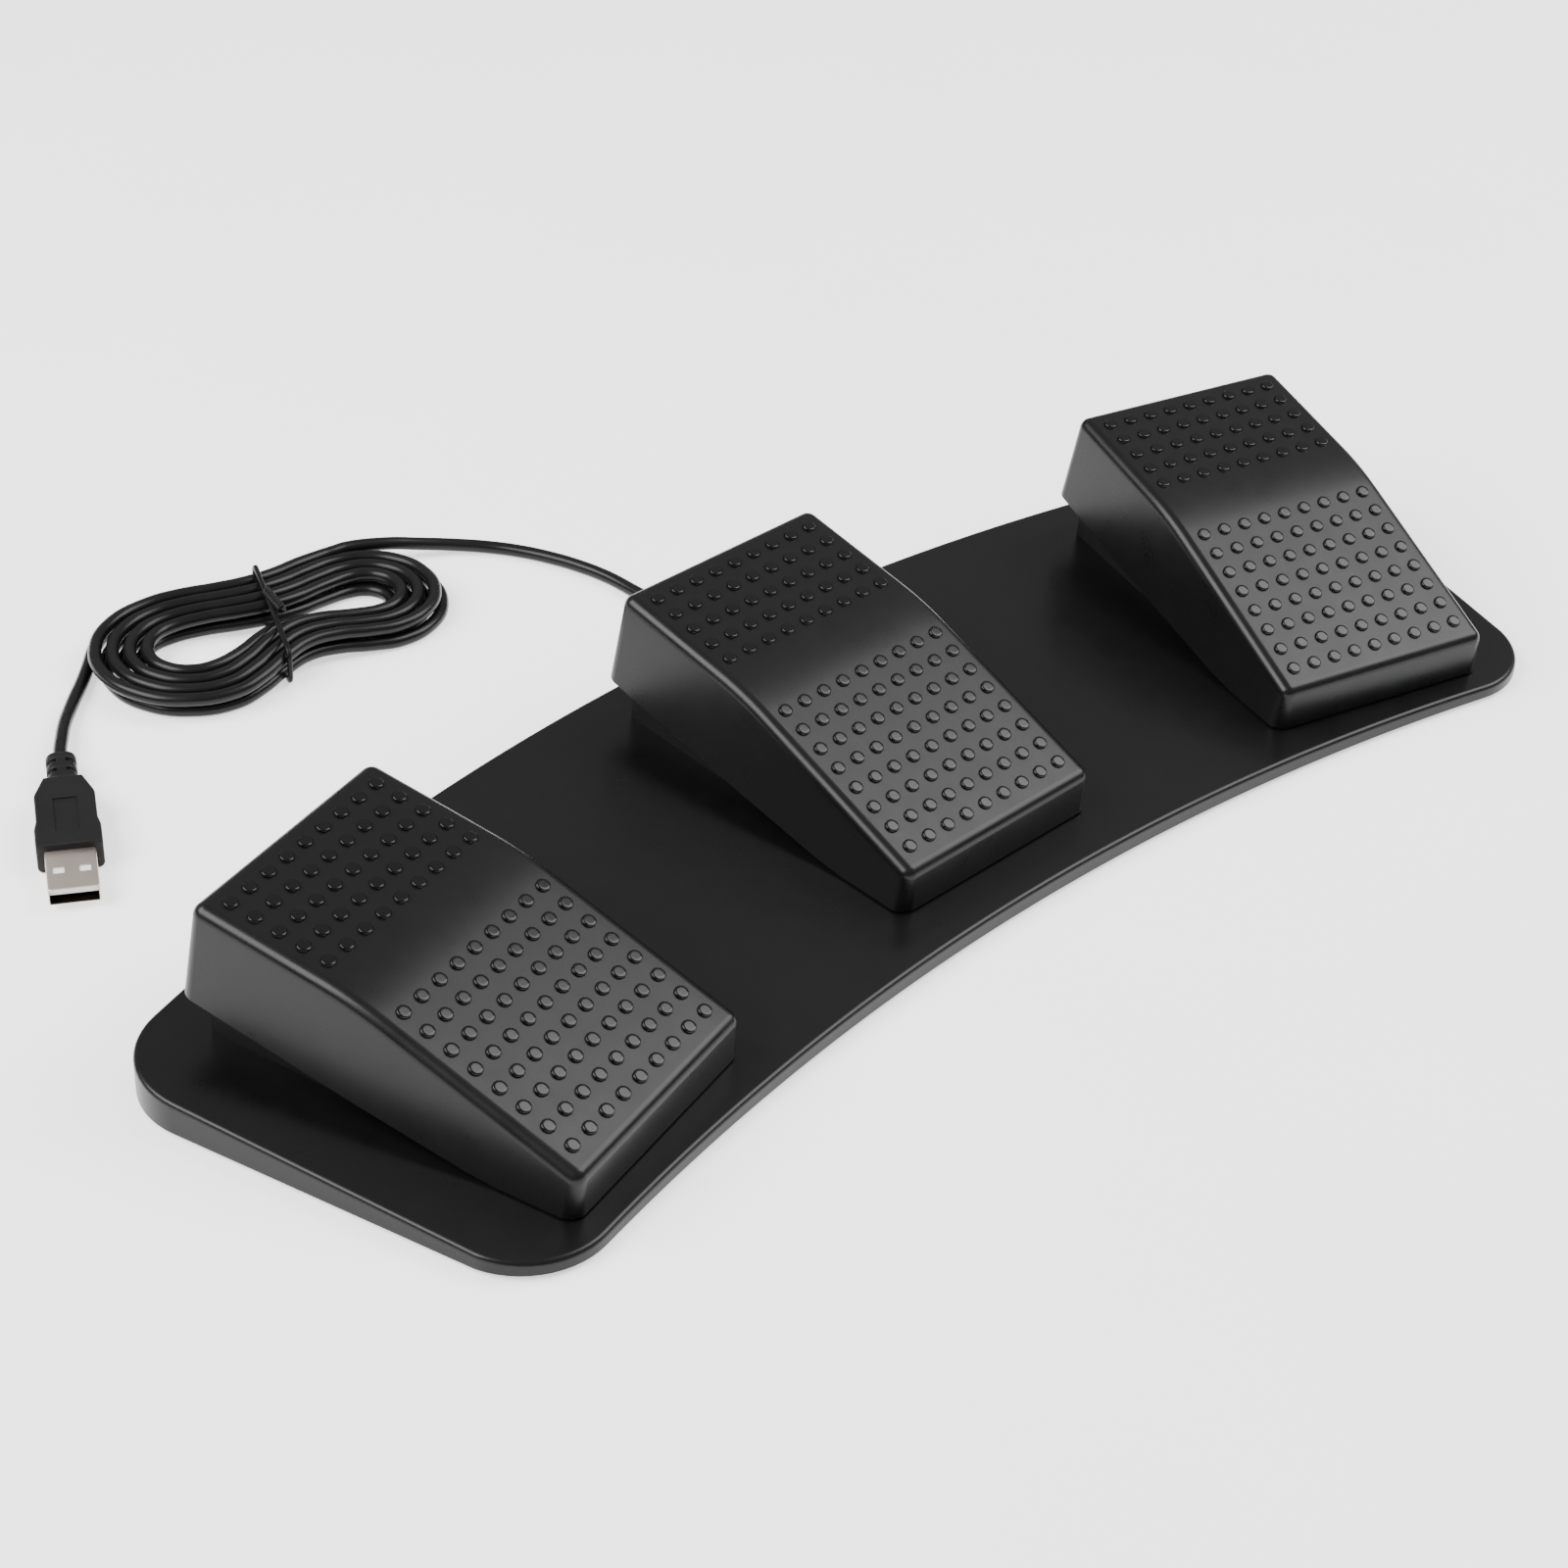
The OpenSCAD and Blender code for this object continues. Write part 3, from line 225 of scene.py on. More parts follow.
def tube_curve(name, lines, thick, material):
    """Round tubes along smooth lines, each given as its points and whether it is closed."""
    data = bpy.data.curves.new(name, "CURVE")
    data.dimensions = "3D"
    data.bevel_depth = thick / 2 * MM
    data.bevel_resolution = 5
    data.resolution_u = 5
    data.use_fill_caps = True
    for points, closed in lines:
        spline = data.splines.new("BEZIER")
        spline.bezier_points.add(len(points) - 1)
        spline.use_cyclic_u = closed
        for knot, p in zip(spline.bezier_points, points):
            knot.co = Vector(p) * MM
            knot.handle_left_type = knot.handle_right_type = "AUTO"
    data.materials.append(material)
    piece = bpy.data.objects.new(name, data)
    bpy.context.scene.collection.objects.link(piece)
    return piece


# PVC comes smooth out of the die, so a clear streak of light runs along each strand. The lines that
# the die leaves are far too fine to show, and are drawn as a grain of 0.4 mm.
cord_pvc = grained("extruded PVC jacket", ("#0e0e0f", "#141415"), 0.4, (0.24, 0.32), 0.004, ior=1.3)
cord = tube_curve("usb_cord", [(cord_path, False)], cord_d, cord_pvc)
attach(cord, "base")
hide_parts("cord_lead", "cord_hank", "cord_tail")


# Tie: thin wire with a matt PVC coat, passed slantwise round the hank's waist and closed by twisting
# its two ends together on top of the hank.
tie_d, tie_gap, tie_bend, tie_slack, tie_pull = 1.4, 0.2, 2.5, 1.1, 2.2
tie_at, tie_turn, tie_steps = (-2.5, -1.1, 0), math.radians(-17), 4
tie_place = hank_place @ Matrix.Translation(tie_at) @ Matrix.Rotation(tie_turn, 4, "Z")
tie_high = cord_z + hank_layer + hank_lift + cord_d / 2 + tie_gap + tie_d / 2
tie_low = tie_d / 2
tie_mid, tie_half = (tie_high + tie_low) / 2, (tie_high - tie_low) / 2
tie_out = (
    (hank_half_w - hank_waist + cord_d / 2 + tie_gap + tie_d / 2) / math.cos(tie_turn) + tie_slack)
tie_reach = {1: tie_out, -1: tie_out - tie_pull}
tie_loop = []
for quarter, (sy, sz) in enumerate(((1, 1), (-1, 1), (-1, -1), (1, -1))):
    for k in range(tie_steps + 1):
        angle = math.radians(90 * (quarter + k / tie_steps))
        tie_loop.append(tie_place @ Vector((
            0, sy * (tie_reach[sy] - tie_bend) + tie_bend * math.cos(angle),
            tie_mid + sz * (tie_half - tie_bend) + tie_bend * math.sin(angle))))
twist_turns, twist_steps, twist_len, twist_from, twist_turn = 4, 8, 10.0, 8.0, -78
twist_place = (
    tie_place @ Matrix.Translation((0, twist_from, tie_high + tie_d / 2))
    @ Matrix.Rotation(math.radians(twist_turn), 4, "Z"))
strands = []
for start in (0, math.pi):
    turns = [start + 2 * math.pi * k / twist_steps for k in range(twist_steps * twist_turns + 1)]
    strands.append(([twist_place @ Vector((
        twist_len * k / (len(turns) - 1), tie_d / 2 * math.cos(a), tie_d / 2 * math.sin(a)))
        for k, a in enumerate(turns)], False))
# A thin matt coat on wire: a deep black with a dull, narrow streak.
tie_pvc = grained("matt PVC wire coat", ("#0a0a0b", "#101011"), 0.3, (0.34, 0.42), 0.006, ior=1.25)
tie = tube_curve("hank_tie_wire", [(tie_loop, True), *strands], tie_d, tie_pvc)
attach(tie, "base")
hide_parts("hank_tie")


# Plug grip: matt black PVC moulded over the cord's end, with sloping shoulders, a flared mouth,
# bevelled lower edges and a sunk blank panel. Three flat rings stand on the strain relief behind it.
relief_len, grip_len, grip_t, grip_edge, grip_bevel = 12.0, 28.2, 8.0, 0.5, 1.5
neck_w, neck_t, neck_edge, neck_bevel, neck_sunk = 5.4, 4.4, 0.5, 0.9, 0.8
bridge_w, bridge_t, bridge_edge, bridge_from = 2.4, 5.6, 0.3, 0.4
panel_len, panel_w, panel_deep, panel_edge, panel_from = 13.2, 5.8, 0.4, 0.2, 2.1
rib_count, rib_t, rib_w, rib_h, rib_deep, rib_corner, rib_edge = 3, 2.7, 7.4, 6.0, 1.6, 1.6, 0.5
grip_end = relief_len + grip_len
shoulder, waist, flare = relief_len + 7.2, grip_end - 10.4, grip_end - 7.2


def ring_mesh(rings):
    """Points and faces through closed rings of equal count, with a cap at each end."""
    n = len(rings[0])
    points = [p for ring in rings for p in ring]
    faces = [
        (r * n + k, r * n + (k + 1) % n, (r + 1) * n + (k + 1) % n, (r + 1) * n + k)
        for r in range(len(rings) - 1) for k in range(n)]
    return points, faces + [tuple(range(n))[::-1], tuple(range(len(points) - n, len(points)))]


def mesh_piece(name, parts, material, place, crease=35):
    """One mesh out of parts given as points and faces, smooth but for edges over the crease angle."""
    build = bmesh.new()
    for points, faces in parts:
        corners = [build.verts.new(place @ Vector(p) * MM) for p in points]
        for face in faces:
            build.faces.new([corners[k] for k in face])
    bmesh.ops.remove_doubles(build, verts=build.verts, dist=1e-6)
    bmesh.ops.recalc_face_normals(build, faces=build.faces)
    mesh = bpy.data.meshes.new(name)
    build.to_mesh(mesh)
    build.free()
    mesh.materials.append(material)
    mesh.shade_smooth()
    mesh.set_sharp_from_angle(angle=math.radians(crease))
    piece = bpy.data.objects.new(name, mesh)
    bpy.context.scene.collection.objects.link(piece)
    return piece


def round_box_ring(x, half_y, half_z, r, low):
    """A ring across x: a rectangle with rounded corners, of radius r above and low below."""
    ring, steps = [], 6
    for quarter, (sy, sz, r) in enumerate(((1, 1, r), (-1, 1, r), (-1, -1, low), (1, -1, low))):
        for k in range(steps + 1):
            a = math.radians(90 * (quarter + k / steps))
            ring.append((x, sy * (half_y - r) + r * math.cos(a), sz * (half_z - r) + r * math.sin(a)))
    return ring


def bar(sections, r, low=None):
    """A bar along x through sections of half sizes, with rounded edges and ends."""
    least = 0.05
    turns = [math.radians(a) for a in (0, 22.5, 45, 67.5, 90)]
    steps = [(1 - math.cos(a), 1 - math.sin(a)) for a in turns]
    (x0, y0, z0), (x1, y1, z1) = sections[0], sections[-1]
    first = [(x0 + r * c, y0 - r * d, z0 - r * d) for c, d in steps]
    last = [(x1 - r * c, y1 - r * d, z1 - r * d) for c, d in steps[::-1]]
    return ring_mesh([
        round_box_ring(x, y, z, min(r, y - least, z - least), min(low or r, y - least, z - least))
        for x, y, z in first + list(sections[1:-1]) + last])


# Half widths along the grip, with its corners softened at the shoulder, the waist and the flare.
grip_halves = [
    (relief_len, 4.8), (shoulder - 0.6, 7.0), (shoulder, 7.15), (shoulder + 0.6, 7.2),
    (waist - 0.5, 7.2), (waist, 7.22), (waist + 0.5, 7.3),
    (flare - 0.5, 7.7), (flare, 7.78), (flare + 0.5, 7.8), (grip_end, 7.8)]
grip_body = bar([(x, half, grip_t / 2) for x, half in grip_halves], grip_edge, grip_bevel)
relief_neck = bar([
    (x, neck_w / 2, neck_t / 2) for x in (0.0, relief_len + neck_sunk)], neck_edge, neck_bevel)
relief_bridge = bar([
    (x, bridge_w / 2, bridge_t / 2) for x in (bridge_from, relief_len + neck_sunk)], bridge_edge)
# Soft PVC from a spark-eroded mould: an even, dull black. The pits are about 0.05 mm wide, and are
# drawn at 0.25 mm so that they show.
plug_pvc = grained("matt moulded PVC", ("#0e0e0f", "#141415"), 0.25, (0.46, 0.56), 0.01)
grip = mesh_piece("plug_grip_moulding", [grip_body, relief_neck, relief_bridge], plug_pvc, plug_place)
panel_place = plug_place @ Matrix.Translation((shoulder + panel_from + panel_len / 2, 0, grip_t / 2))
panel_cut = mesh_piece("panel_cut", [bar([
    (x, panel_w / 2, panel_deep) for x in (-panel_len / 2, panel_len / 2)], panel_edge)],
    plug_pvc, panel_place)


def cut_away(piece, tool, crease=35):
    """Takes the tool's form out of a piece and deletes the tool."""
    carve = piece.modifiers.new("carve", "BOOLEAN")
    carve.operation, carve.solver, carve.object = "DIFFERENCE", "EXACT", tool
    depsgraph = bpy.context.evaluated_depsgraph_get()
    mesh = bpy.data.meshes.new_from_object(piece.evaluated_get(depsgraph), depsgraph=depsgraph)
    piece.modifiers.clear()
    piece.data = mesh
    mesh.set_sharp_from_angle(angle=math.radians(crease))
    bpy.data.objects.remove(tool)


def flat_faces(piece):
    """Keeps the shading of broad faces flat up to their rounded edges."""
    piece.modifiers.new("flat faces", "WEIGHTED_NORMAL").keep_sharp = True


cut_away(grip, panel_cut)
flat_faces(grip)
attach(grip, "base")
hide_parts("plug_grip")


def node_group(name, inputs):
    """A geometry node group with an output and named inputs, and the sockets that give those."""
    group = bpy.data.node_groups.new(name, "GeometryNodeTree")
    for label, kind in inputs.items():
        group.interface.new_socket(label, in_out="INPUT", socket_type="NodeSocket" + kind)
    group.interface.new_socket("Geometry", in_out="OUTPUT", socket_type="NodeSocketGeometry")
    return group, add_node(group, "NodeGroupInput").outputs


def close_group(group, made, material):
    """Makes the instances in a group real, gives them their material and hands them out."""
    solid = add_node(group, "GeometryNodeRealizeInstances", {"Geometry": made})
    dressed = add_node(group, "GeometryNodeSetMaterial", {
        "Geometry": solid.outputs["Geometry"], "Material": material})
    add_node(group, "NodeGroupOutput", {"Geometry": dressed.outputs["Geometry"]})


rib_group, given = node_group("relief ribs", {
    "Count": "Int", "Step": "Float", "Thickness": "Float", "Width": "Float", "Height": "Float",
    "Depth": "Float", "Corner": "Float", "Edge": "Float", "Place": "Vector", "Turn": "Rotation",
    "Material": "Material"})
rail_w = add_node(rib_group, "ShaderNodeMath", {
    0: given["Width"], 1: given["Depth"]}, operation="SUBTRACT")
rail_h = add_node(rib_group, "ShaderNodeMath", {
    0: given["Height"], 1: given["Depth"]}, operation="SUBTRACT")
rail = add_node(rib_group, "GeometryNodeCurvePrimitiveQuadrilateral", {
    "Width": rail_h.outputs[0], "Height": rail_w.outputs[0]})
rail = add_node(rib_group, "GeometryNodeFilletCurve", {
    "Curve": rail.outputs["Curve"], "Radius": given["Corner"], "Count": 6}, mode="POLY")
profile = add_node(rib_group, "GeometryNodeCurvePrimitiveQuadrilateral", {
    "Width": given["Depth"], "Height": given["Thickness"]})
profile = add_node(rib_group, "GeometryNodeFilletCurve", {
    "Curve": profile.outputs["Curve"], "Radius": given["Edge"], "Count": 4}, mode="POLY")
ring = add_node(rib_group, "GeometryNodeCurveToMesh", {
    "Curve": rail.outputs["Curve"], "Profile Curve": profile.outputs["Curve"]})
upright = add_node(rib_group, "GeometryNodeTransform", {
    "Geometry": ring.outputs["Mesh"], "Rotation": (0.0, math.pi / 2, 0.0)})
along = add_node(rib_group, "ShaderNodeCombineXYZ", {"X": given["Step"]})
row = add_node(rib_group, "GeometryNodeMeshLine", {
    "Count": given["Count"], "Offset": along.outputs["Vector"]})
rings = add_node(rib_group, "GeometryNodeInstanceOnPoints", {
    "Points": row.outputs["Mesh"], "Instance": upright.outputs["Geometry"]})
placed = add_node(rib_group, "GeometryNodeTransform", {
    "Geometry": rings.outputs["Instances"], "Translation": given["Place"], "Rotation": given["Turn"]})
close_group(rib_group, placed.outputs["Geometry"], given["Material"])


def grown_piece(name, group, values, crease=35, points=()):
    """Runs a geometry node group on points with named inputs, and keeps the result as a mesh."""
    piece = bpy.data.objects.new(name, bpy.data.meshes.new(name))
    piece.data.from_pydata(points, [], [])
    bpy.context.scene.collection.objects.link(piece)
    grow = piece.modifiers.new("grow", "NODES")
    grow.node_group = group
    for socket in group.interface.items_tree:
        if socket.in_out == "INPUT" and socket.name in values:
            grow[socket.identifier] = values[socket.name]
    depsgraph = bpy.context.evaluated_depsgraph_get()
    mesh = bpy.data.meshes.new_from_object(piece.evaluated_get(depsgraph), depsgraph=depsgraph)
    piece.modifiers.clear()
    piece.data = mesh
    mesh.shade_smooth()
    mesh.set_sharp_from_angle(angle=math.radians(crease))
    return piece


ribs = grown_piece("plug_relief_ribs", rib_group, {
    "Count": rib_count, "Step": relief_len / rib_count * MM, "Thickness": rib_t * MM,
    "Width": rib_w * MM, "Height": rib_h * MM, "Depth": rib_deep * MM, "Corner": rib_corner * MM,
    "Edge": rib_edge * MM, "Place": plug_place @ Vector((rib_t / 2, 0, 0)) * MM,
    "Turn": plug_place.to_euler(), "Material": plug_pvc})
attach(ribs, "base")


# Plug shell: nickel-plated steel sheet folded to a rectangular tube with rounded corners and two
# latch windows in each broad face. Right below its upper face lies the white insulating tongue,
# which shows in the windows and the mouth, with gilt contacts on its lower side.
shell_w, shell_h, shell_len, shell_t = 12.0, 4.5, 15.3, 0.3
shell_corner, shell_sunk, shell_back = 0.6, 0.5, 1.0
window_len, window_w, window_from, window_y, window_edge, window_reach = 2.3, 2.7, 8.6, 3.05, 0.2, 4.0
lining_gap, lining_short = 0.02, 0.3
tip = grip_end + shell_len
# Nickel on stamped sheet: a warm mirror, a little clouded.
nickel = grained("nickel-plated steel", ("#d2c6ba", "#dccfc3"), 0.5, (0.34, 0.44), 0.002, 1.0)
# The tip's edge is drawn in over its last 0.4 mm.
outer = [round_box_ring(x, shell_w / 2 - d, shell_h / 2 - d, shell_corner, shell_corner) for x, d in (
    (grip_end - shell_sunk, 0.0), (tip - 0.4, 0.0), (tip - 0.15, 0.06), (tip, 0.2))]
inner_corner = shell_corner - shell_t
inner = [
    round_box_ring(x, shell_w / 2 - shell_t, shell_h / 2 - shell_t, inner_corner, inner_corner)
    for x in (tip, grip_end + shell_back)]
shell = mesh_piece("plug_shell_sheet", [ring_mesh(outer + inner)], nickel, plug_place)
for side in (-1, 1):
    hole_place = plug_place @ Matrix.Translation((tip - window_from + window_len / 2, side * window_y, 0))
    hole = mesh_piece("window_cut", [bar([
        (x, window_w / 2, window_reach) for x in (-window_len / 2, window_len / 2)], window_edge)],
        nickel, hole_place)
    cut_away(shell, hole)
flat_faces(shell)
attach(shell, "base")
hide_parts("plug_shell")
# Painted shade: a dark steel sheet laid inside the nickel shell, so that the mouth reads as a shadowed
# hole.
mouth_shade_steel = grained("dark steel, painted mouth shade", ("#2a2622", "#332e29"), 0.5, (0.55, 0.65), 0.002, 1.0)
lining_low, lining_side = shell_t - shell_h / 2 + lining_gap, shell_w / 2 - shell_t - lining_gap
lining_ends = (grip_end + shell_back + lining_gap, tip - lining_short)
lining_ring = (
    (-lining_side, 0), (-lining_side, lining_low), (lining_side, lining_low), (lining_side, 0))
# This lining is painted shade: a dark sheet put where the mouth's inside only lies in shadow.
lining = mesh_piece("plug_mouth_shade_lining", [(
    [(x, y, z) for x in lining_ends for y, z in lining_ring],
    [(0, 1, 5, 4), (1, 2, 6, 5), (2, 3, 7, 6), (0, 3, 2, 1)])], mouth_shade_steel, plug_place)
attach(lining, "base")


def dress(name, material):
    """Gives a CAD node its material and hands the node back."""
    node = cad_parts[name]
    node.data.materials.clear()
    node.data.materials.append(material)
    return node


# Moulded nylon is a milky white with a soft sheen, and gold on bronze a clear yellow mirror.
tongue_nylon = grained("moulded white nylon", ("#dededb", "#e8e8e5"), 0.3, (0.4, 0.5), 0.004)
gilt = grained("gilt bronze", ("#c99f3d", "#dcb654"), 0.3, (0.22, 0.3), 0.0, 1.0)
tongue = dress("plug_tongue", tongue_nylon)
contacts = dress("plug_contacts", gilt)
boot = dress("cable_grommet", plug_pvc)


# Base shell: one bowed moulding in satin black ABS, a tilted deck with a rounded edge and a wall
# turned down to the floor. Its rear edge is bulged, its front edge hollow and its ends are slanted.
base_depth, rear_radius, front_radius = 122.5, 612.0, 626.0
end_reach, end_angle, corner_radius = 204.5, 14.85, 21.0
deck_height, deck_tilt, deck_t, deck_edge = 12.4, 3.2, 2.0, 1.2
base_wall, plate_t, plate_ledge, foot_h, foot_edge = 2.5, 1.0, 1.2, 1.0, 0.4
arc_steps, corner_steps = 40, 14
rear_center = Vector((0, -rear_radius))
front_center = Vector((0, -base_depth - front_radius))


def direction(angle):
    """A unit vector in plan."""
    return Vector((math.cos(math.radians(angle)), math.sin(math.radians(angle))))


def corner_center(center, reach):
    """Centre of the corner that touches an end and a circle of that reach round a centre."""
    foot = direction(-end_angle) * (end_reach - corner_radius)
    rel, side = foot - center, direction(90 - end_angle)
    run = rel.dot(side)
    return foot + side * (math.sqrt(run * run - rel.dot(rel) + reach * reach) - run)


rear_corner = corner_center(rear_center, rear_radius - corner_radius)
front_corner = corner_center(front_center, front_radius + corner_radius)
rear_tangent = math.degrees(math.atan2(*(rear_corner - rear_center).yx))
front_tangent = math.degrees(math.atan2(*(front_center - front_corner).yx))


def arc(center, r, start, end, steps):
    """Points on an arc after its start, up to its end."""
    return [center + r * direction(start + (end - start) * k / steps) for k in range(1, steps + 1)]


def plan(inset):
    """The base's outline drawn in by an inset, from the middle of the rear edge."""
    half = [
        Vector((0, -inset)), *arc(rear_center, rear_radius - inset, 90, rear_tangent, arc_steps),
        *arc(rear_corner, corner_radius - inset, rear_tangent, -end_angle, corner_steps),
        *arc(front_corner, corner_radius - inset, -end_angle, front_tangent, corner_steps),
        *arc(front_center, front_radius + inset, front_tangent + 180, 90, arc_steps)]
    return half + [Vector((-p.x, p.y)) for p in half[-2:0:-1]]


def flat_ring(inset, z):
    """The outline at one height."""
    return [(p.x, p.y, z) for p in plan(inset)]


def deck_ring(inset, drop):
    """The outline at a depth below the tilted deck."""
    fall = math.tan(math.radians(deck_tilt))
    return [(p.x, p.y, deck_height + p.y * fall - drop) for p in plan(inset)]


base_place = Matrix.Translation((0, -min(p.y for p in plan(0)) / 2, 0))
quarter_turn = [math.radians(a) for a in range(0, 91, 15)]
base_rings = [
    deck_ring(base_wall, deck_t), flat_ring(base_wall, foot_h + plate_t),
    flat_ring(plate_ledge, foot_h + plate_t), flat_ring(plate_ledge, foot_h),
    *[flat_ring(foot_edge * (1 - math.sin(a)), foot_h + foot_edge * (1 - math.cos(a)))
      for a in quarter_turn],
    *[deck_ring(deck_edge * (1 - math.cos(a)), deck_edge * (1 - math.sin(a))) for a in quarter_turn]]
# ABS from an etched mould: black, with a broad soft sheen. The etched grain is about 0.05 mm wide,
# and is drawn at 0.18 mm so that it shows.
abs_plastic = grained("satin black ABS", ("#0c0c0d", "#101011"), 0.18, (0.27, 0.31), 0.002)
base = mesh_piece("base_moulding", [ring_mesh(base_rings)], abs_plastic, base_place)
flat_faces(base)
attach(base, "base")
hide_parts("base_shell")


# Pedal covers: thin shells in the same ABS, with a flat rear panel and a steeper front panel that
# meet in a soft bend, rounded edges, leaning walls and a skirt that rises behind the hinge. Each
# rocks on its hinge pin.
deck_place = (
    base_place @ Matrix.Translation((0, 0, deck_height))
    @ Matrix.Rotation(math.radians(deck_tilt), 4, "X"))
side_x, side_y, side_yaw, middle_y = 130.6, -105.8, 14.7, -87.2
pedal_place = {
    name: deck_place @ Matrix.Translation((x, y, 0)) @ Matrix.Rotation(math.radians(yaw), 4, "Z")
    for name, x, y, yaw in (
        ("left", -side_x, side_y, side_yaw), ("middle", 0, middle_y, 0),
        ("right", side_x, side_y, -side_yaw))}
cover_w, cover_front, cover_rear, cover_wall = 63.4, 22.7, 76.7, 2.4
tread_h, rear_field_y, front_field_y = 34.5, 57.6, 4.5
rear_slope, front_slope, draft = math.radians(7.5), math.radians(18.8), math.radians(5)
bend_y, bend_r, tread_edge, skirt_corner = 34.4, 80.0, 3.0, 4.0
skirt_gap, skirt_rise, skirt_z = 0.5, math.radians(9), -2.0
panel_steps, bend_steps, column_steps, turn_steps, edge_steps, wall_steps = 6, 12, 16, 8, 7, 5
bend_h = tread_h - (rear_field_y - bend_y) * math.tan(rear_slope)


def tread_z(y):
    """Height of the tread above the deck, as two planes."""
    return bend_h + (y - bend_y) * math.tan(rear_slope if y > bend_y else front_slope)


def tread_normal(slope):
    """Upward direction of a tread panel."""
    return Vector((0, -math.sin(slope), math.cos(slope)))


lean = tread_edge * (1 / math.cos(draft) - math.tan(draft))
crest_x, rear_crest_y, front_crest_y = cover_w / 2 - lean, cover_rear - lean, tread_edge - cover_front
bend_half = (front_slope - rear_slope) / 2
bend_up = tread_normal(rear_slope + bend_half)
bend_center = Vector((0, bend_y, bend_h)) - bend_up * bend_r / math.cos(bend_half)


def cover_rows():
    """Middles of the tread's edge rounding from front to rear, each with the tread's slope there."""
    front = Vector((0, front_crest_y, tread_z(front_crest_y) - tread_edge / math.cos(front_slope)))
    rear = Vector((0, rear_crest_y, tread_z(rear_crest_y) - tread_edge / math.cos(rear_slope)))
    bend = [front_slope - 2 * bend_half * k / bend_steps for k in range(bend_steps + 1)]
    arc_points = [bend_center + (bend_r - tread_edge) * tread_normal(a) for a in bend]
    return [
        *[(front.lerp(arc_points[0], k / panel_steps), front_slope) for k in range(panel_steps)],
        *zip(arc_points, bend),
        *[(arc_points[-1].lerp(rear, k / panel_steps), rear_slope) for k in range(1, panel_steps + 1)]]


def skirt_x(y):
    """Middle of the skirt's rounding at y, out from the pedal's middle."""
    marks = [(-cover_front, skirt_corner - cover_front), (bend_y, bend_y), (cover_rear, rear_skirt_y)]
    (w0, y0), (w1, y1) = marks[:2] if y < bend_y else marks[1:]
    x0, x1 = [cover_w / 2 + (tread_z(w) - skirt_z) * math.tan(draft) - skirt_corner for w in (w0, w1)]
    return x0 + (x1 - x0) * (y - y0) / (y1 - y0)


rear_skirt_y = cover_rear + (tread_z(cover_rear) - skirt_z) * math.tan(draft) - skirt_corner
front_skirt_y = skirt_corner - cover_front
columns = [crest_x * (1 - 2 * k / column_steps) for k in range(column_steps + 1)]


def cover_outline():
    """Stations round the cover: edge middle, slope, skirt middle and outward angle."""
    rows = cover_rows()
    front, rear = rows[0][0], rows[-1][0]
    right = [
        (Vector((crest_x, c.y, c.z)), a, Vector((skirt_x(c.y), c.y, skirt_z)), 0) for c, a in rows]
    left = [
        (Vector((-c.x, c.y, c.z)), a, Vector((-k.x, k.y, k.z)), 180) for c, a, k, _ in right]
    turns = [90 * k / turn_steps for k in range(turn_steps + 1)]

    def corner(side, c, slope, y, start):
        middle = Vector((side * crest_x, c.y, c.z)), slope, Vector((side * skirt_x(y), y, skirt_z))
        return [(*middle, start + t) for t in turns]

    def edge(c, slope, y, angle, across):
        spread = skirt_x(y) / crest_x
        return [(Vector((x, c.y, c.z)), slope, Vector((x * spread, y, skirt_z)), angle) for x in across]

    return [
        *right[:-1], *corner(1, rear, rear_slope, rear_skirt_y, 0),
        *edge(rear, rear_slope, rear_skirt_y, 90, columns[1:-1]),
        *corner(-1, rear, rear_slope, rear_skirt_y, 90), *left[-2:0:-1],
        *corner(-1, front, front_slope, front_skirt_y, 180),
        *edge(front, front_slope, front_skirt_y, 270, columns[-2:0:-1]),
        *corner(1, front, front_slope, front_skirt_y, 270)[:-1]]


def cover_section(c, slope, k, angle, inset):
    """Points from the tread over its rounded edge and down the wall to the skirt's lower edge."""
    edge_r, skirt_r = tread_edge - inset, skirt_corner - inset
    out, up = direction(angle).to_3d(), Vector((0, 0, 1))
    reach, drop = (k - c).dot(out) + skirt_r, c.z - skirt_z
    tilt = math.acos(edge_r / math.hypot(reach, drop)) - math.atan2(drop, reach)
    wall = out * math.cos(tilt) + up * math.sin(tilt)
    points = [
        c + edge_r * tread_normal(slope).slerp(wall, s / edge_steps) for s in range(edge_steps + 1)]
    top, foot = points[-1], k + skirt_r * out
    rise = math.tan(skirt_rise)
    share = (top.z - skirt_gap - top.y * rise) / (top.z - foot.z + (foot.y - top.y) * rise)
    if top.lerp(foot, share).y < 0:
        share = (top.z - skirt_gap) / (top.z - foot.z)
    return points + [top.lerp(foot, share * s / wall_steps) for s in range(1, wall_steps + 1)]


def cover_skin(inset):
    """One skin of the cover as rings from the tread to the lower edge, and the tread's own points."""
    sections = [cover_section(*station, inset) for station in cover_outline()]
    lift = tread_edge - inset
    tread = [
        [Vector((x, c.y, c.z)) + lift * tread_normal(a) for x in columns] for c, a in cover_rows()]
    return [list(ring) for ring in zip(*sections)], tread


def grid_faces(rows):
    """Points and faces of an open grid."""
    n = len(rows[0])
    return [p for row in rows for p in row], [
        (r * n + k, r * n + k + 1, (r + 1) * n + k + 1, (r + 1) * n + k)
        for r in range(len(rows) - 1) for k in range(n - 1)]


outer_rings, outer_tread = cover_skin(0.0)
inner_rings, inner_tread = cover_skin(cover_wall)
wall_points, wall_faces = ring_mesh(outer_rings + inner_rings[::-1])
cover_parts = [(wall_points, wall_faces[:-2]), grid_faces(outer_tread), grid_faces(inner_tread)]
for name, place in pedal_place.items():
    cover = mesh_piece(name + "_cover_shell", cover_parts, abs_plastic, place)
    flat_faces(cover)
    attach(cover, name + "_pedal")
    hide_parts(name + "_cover")


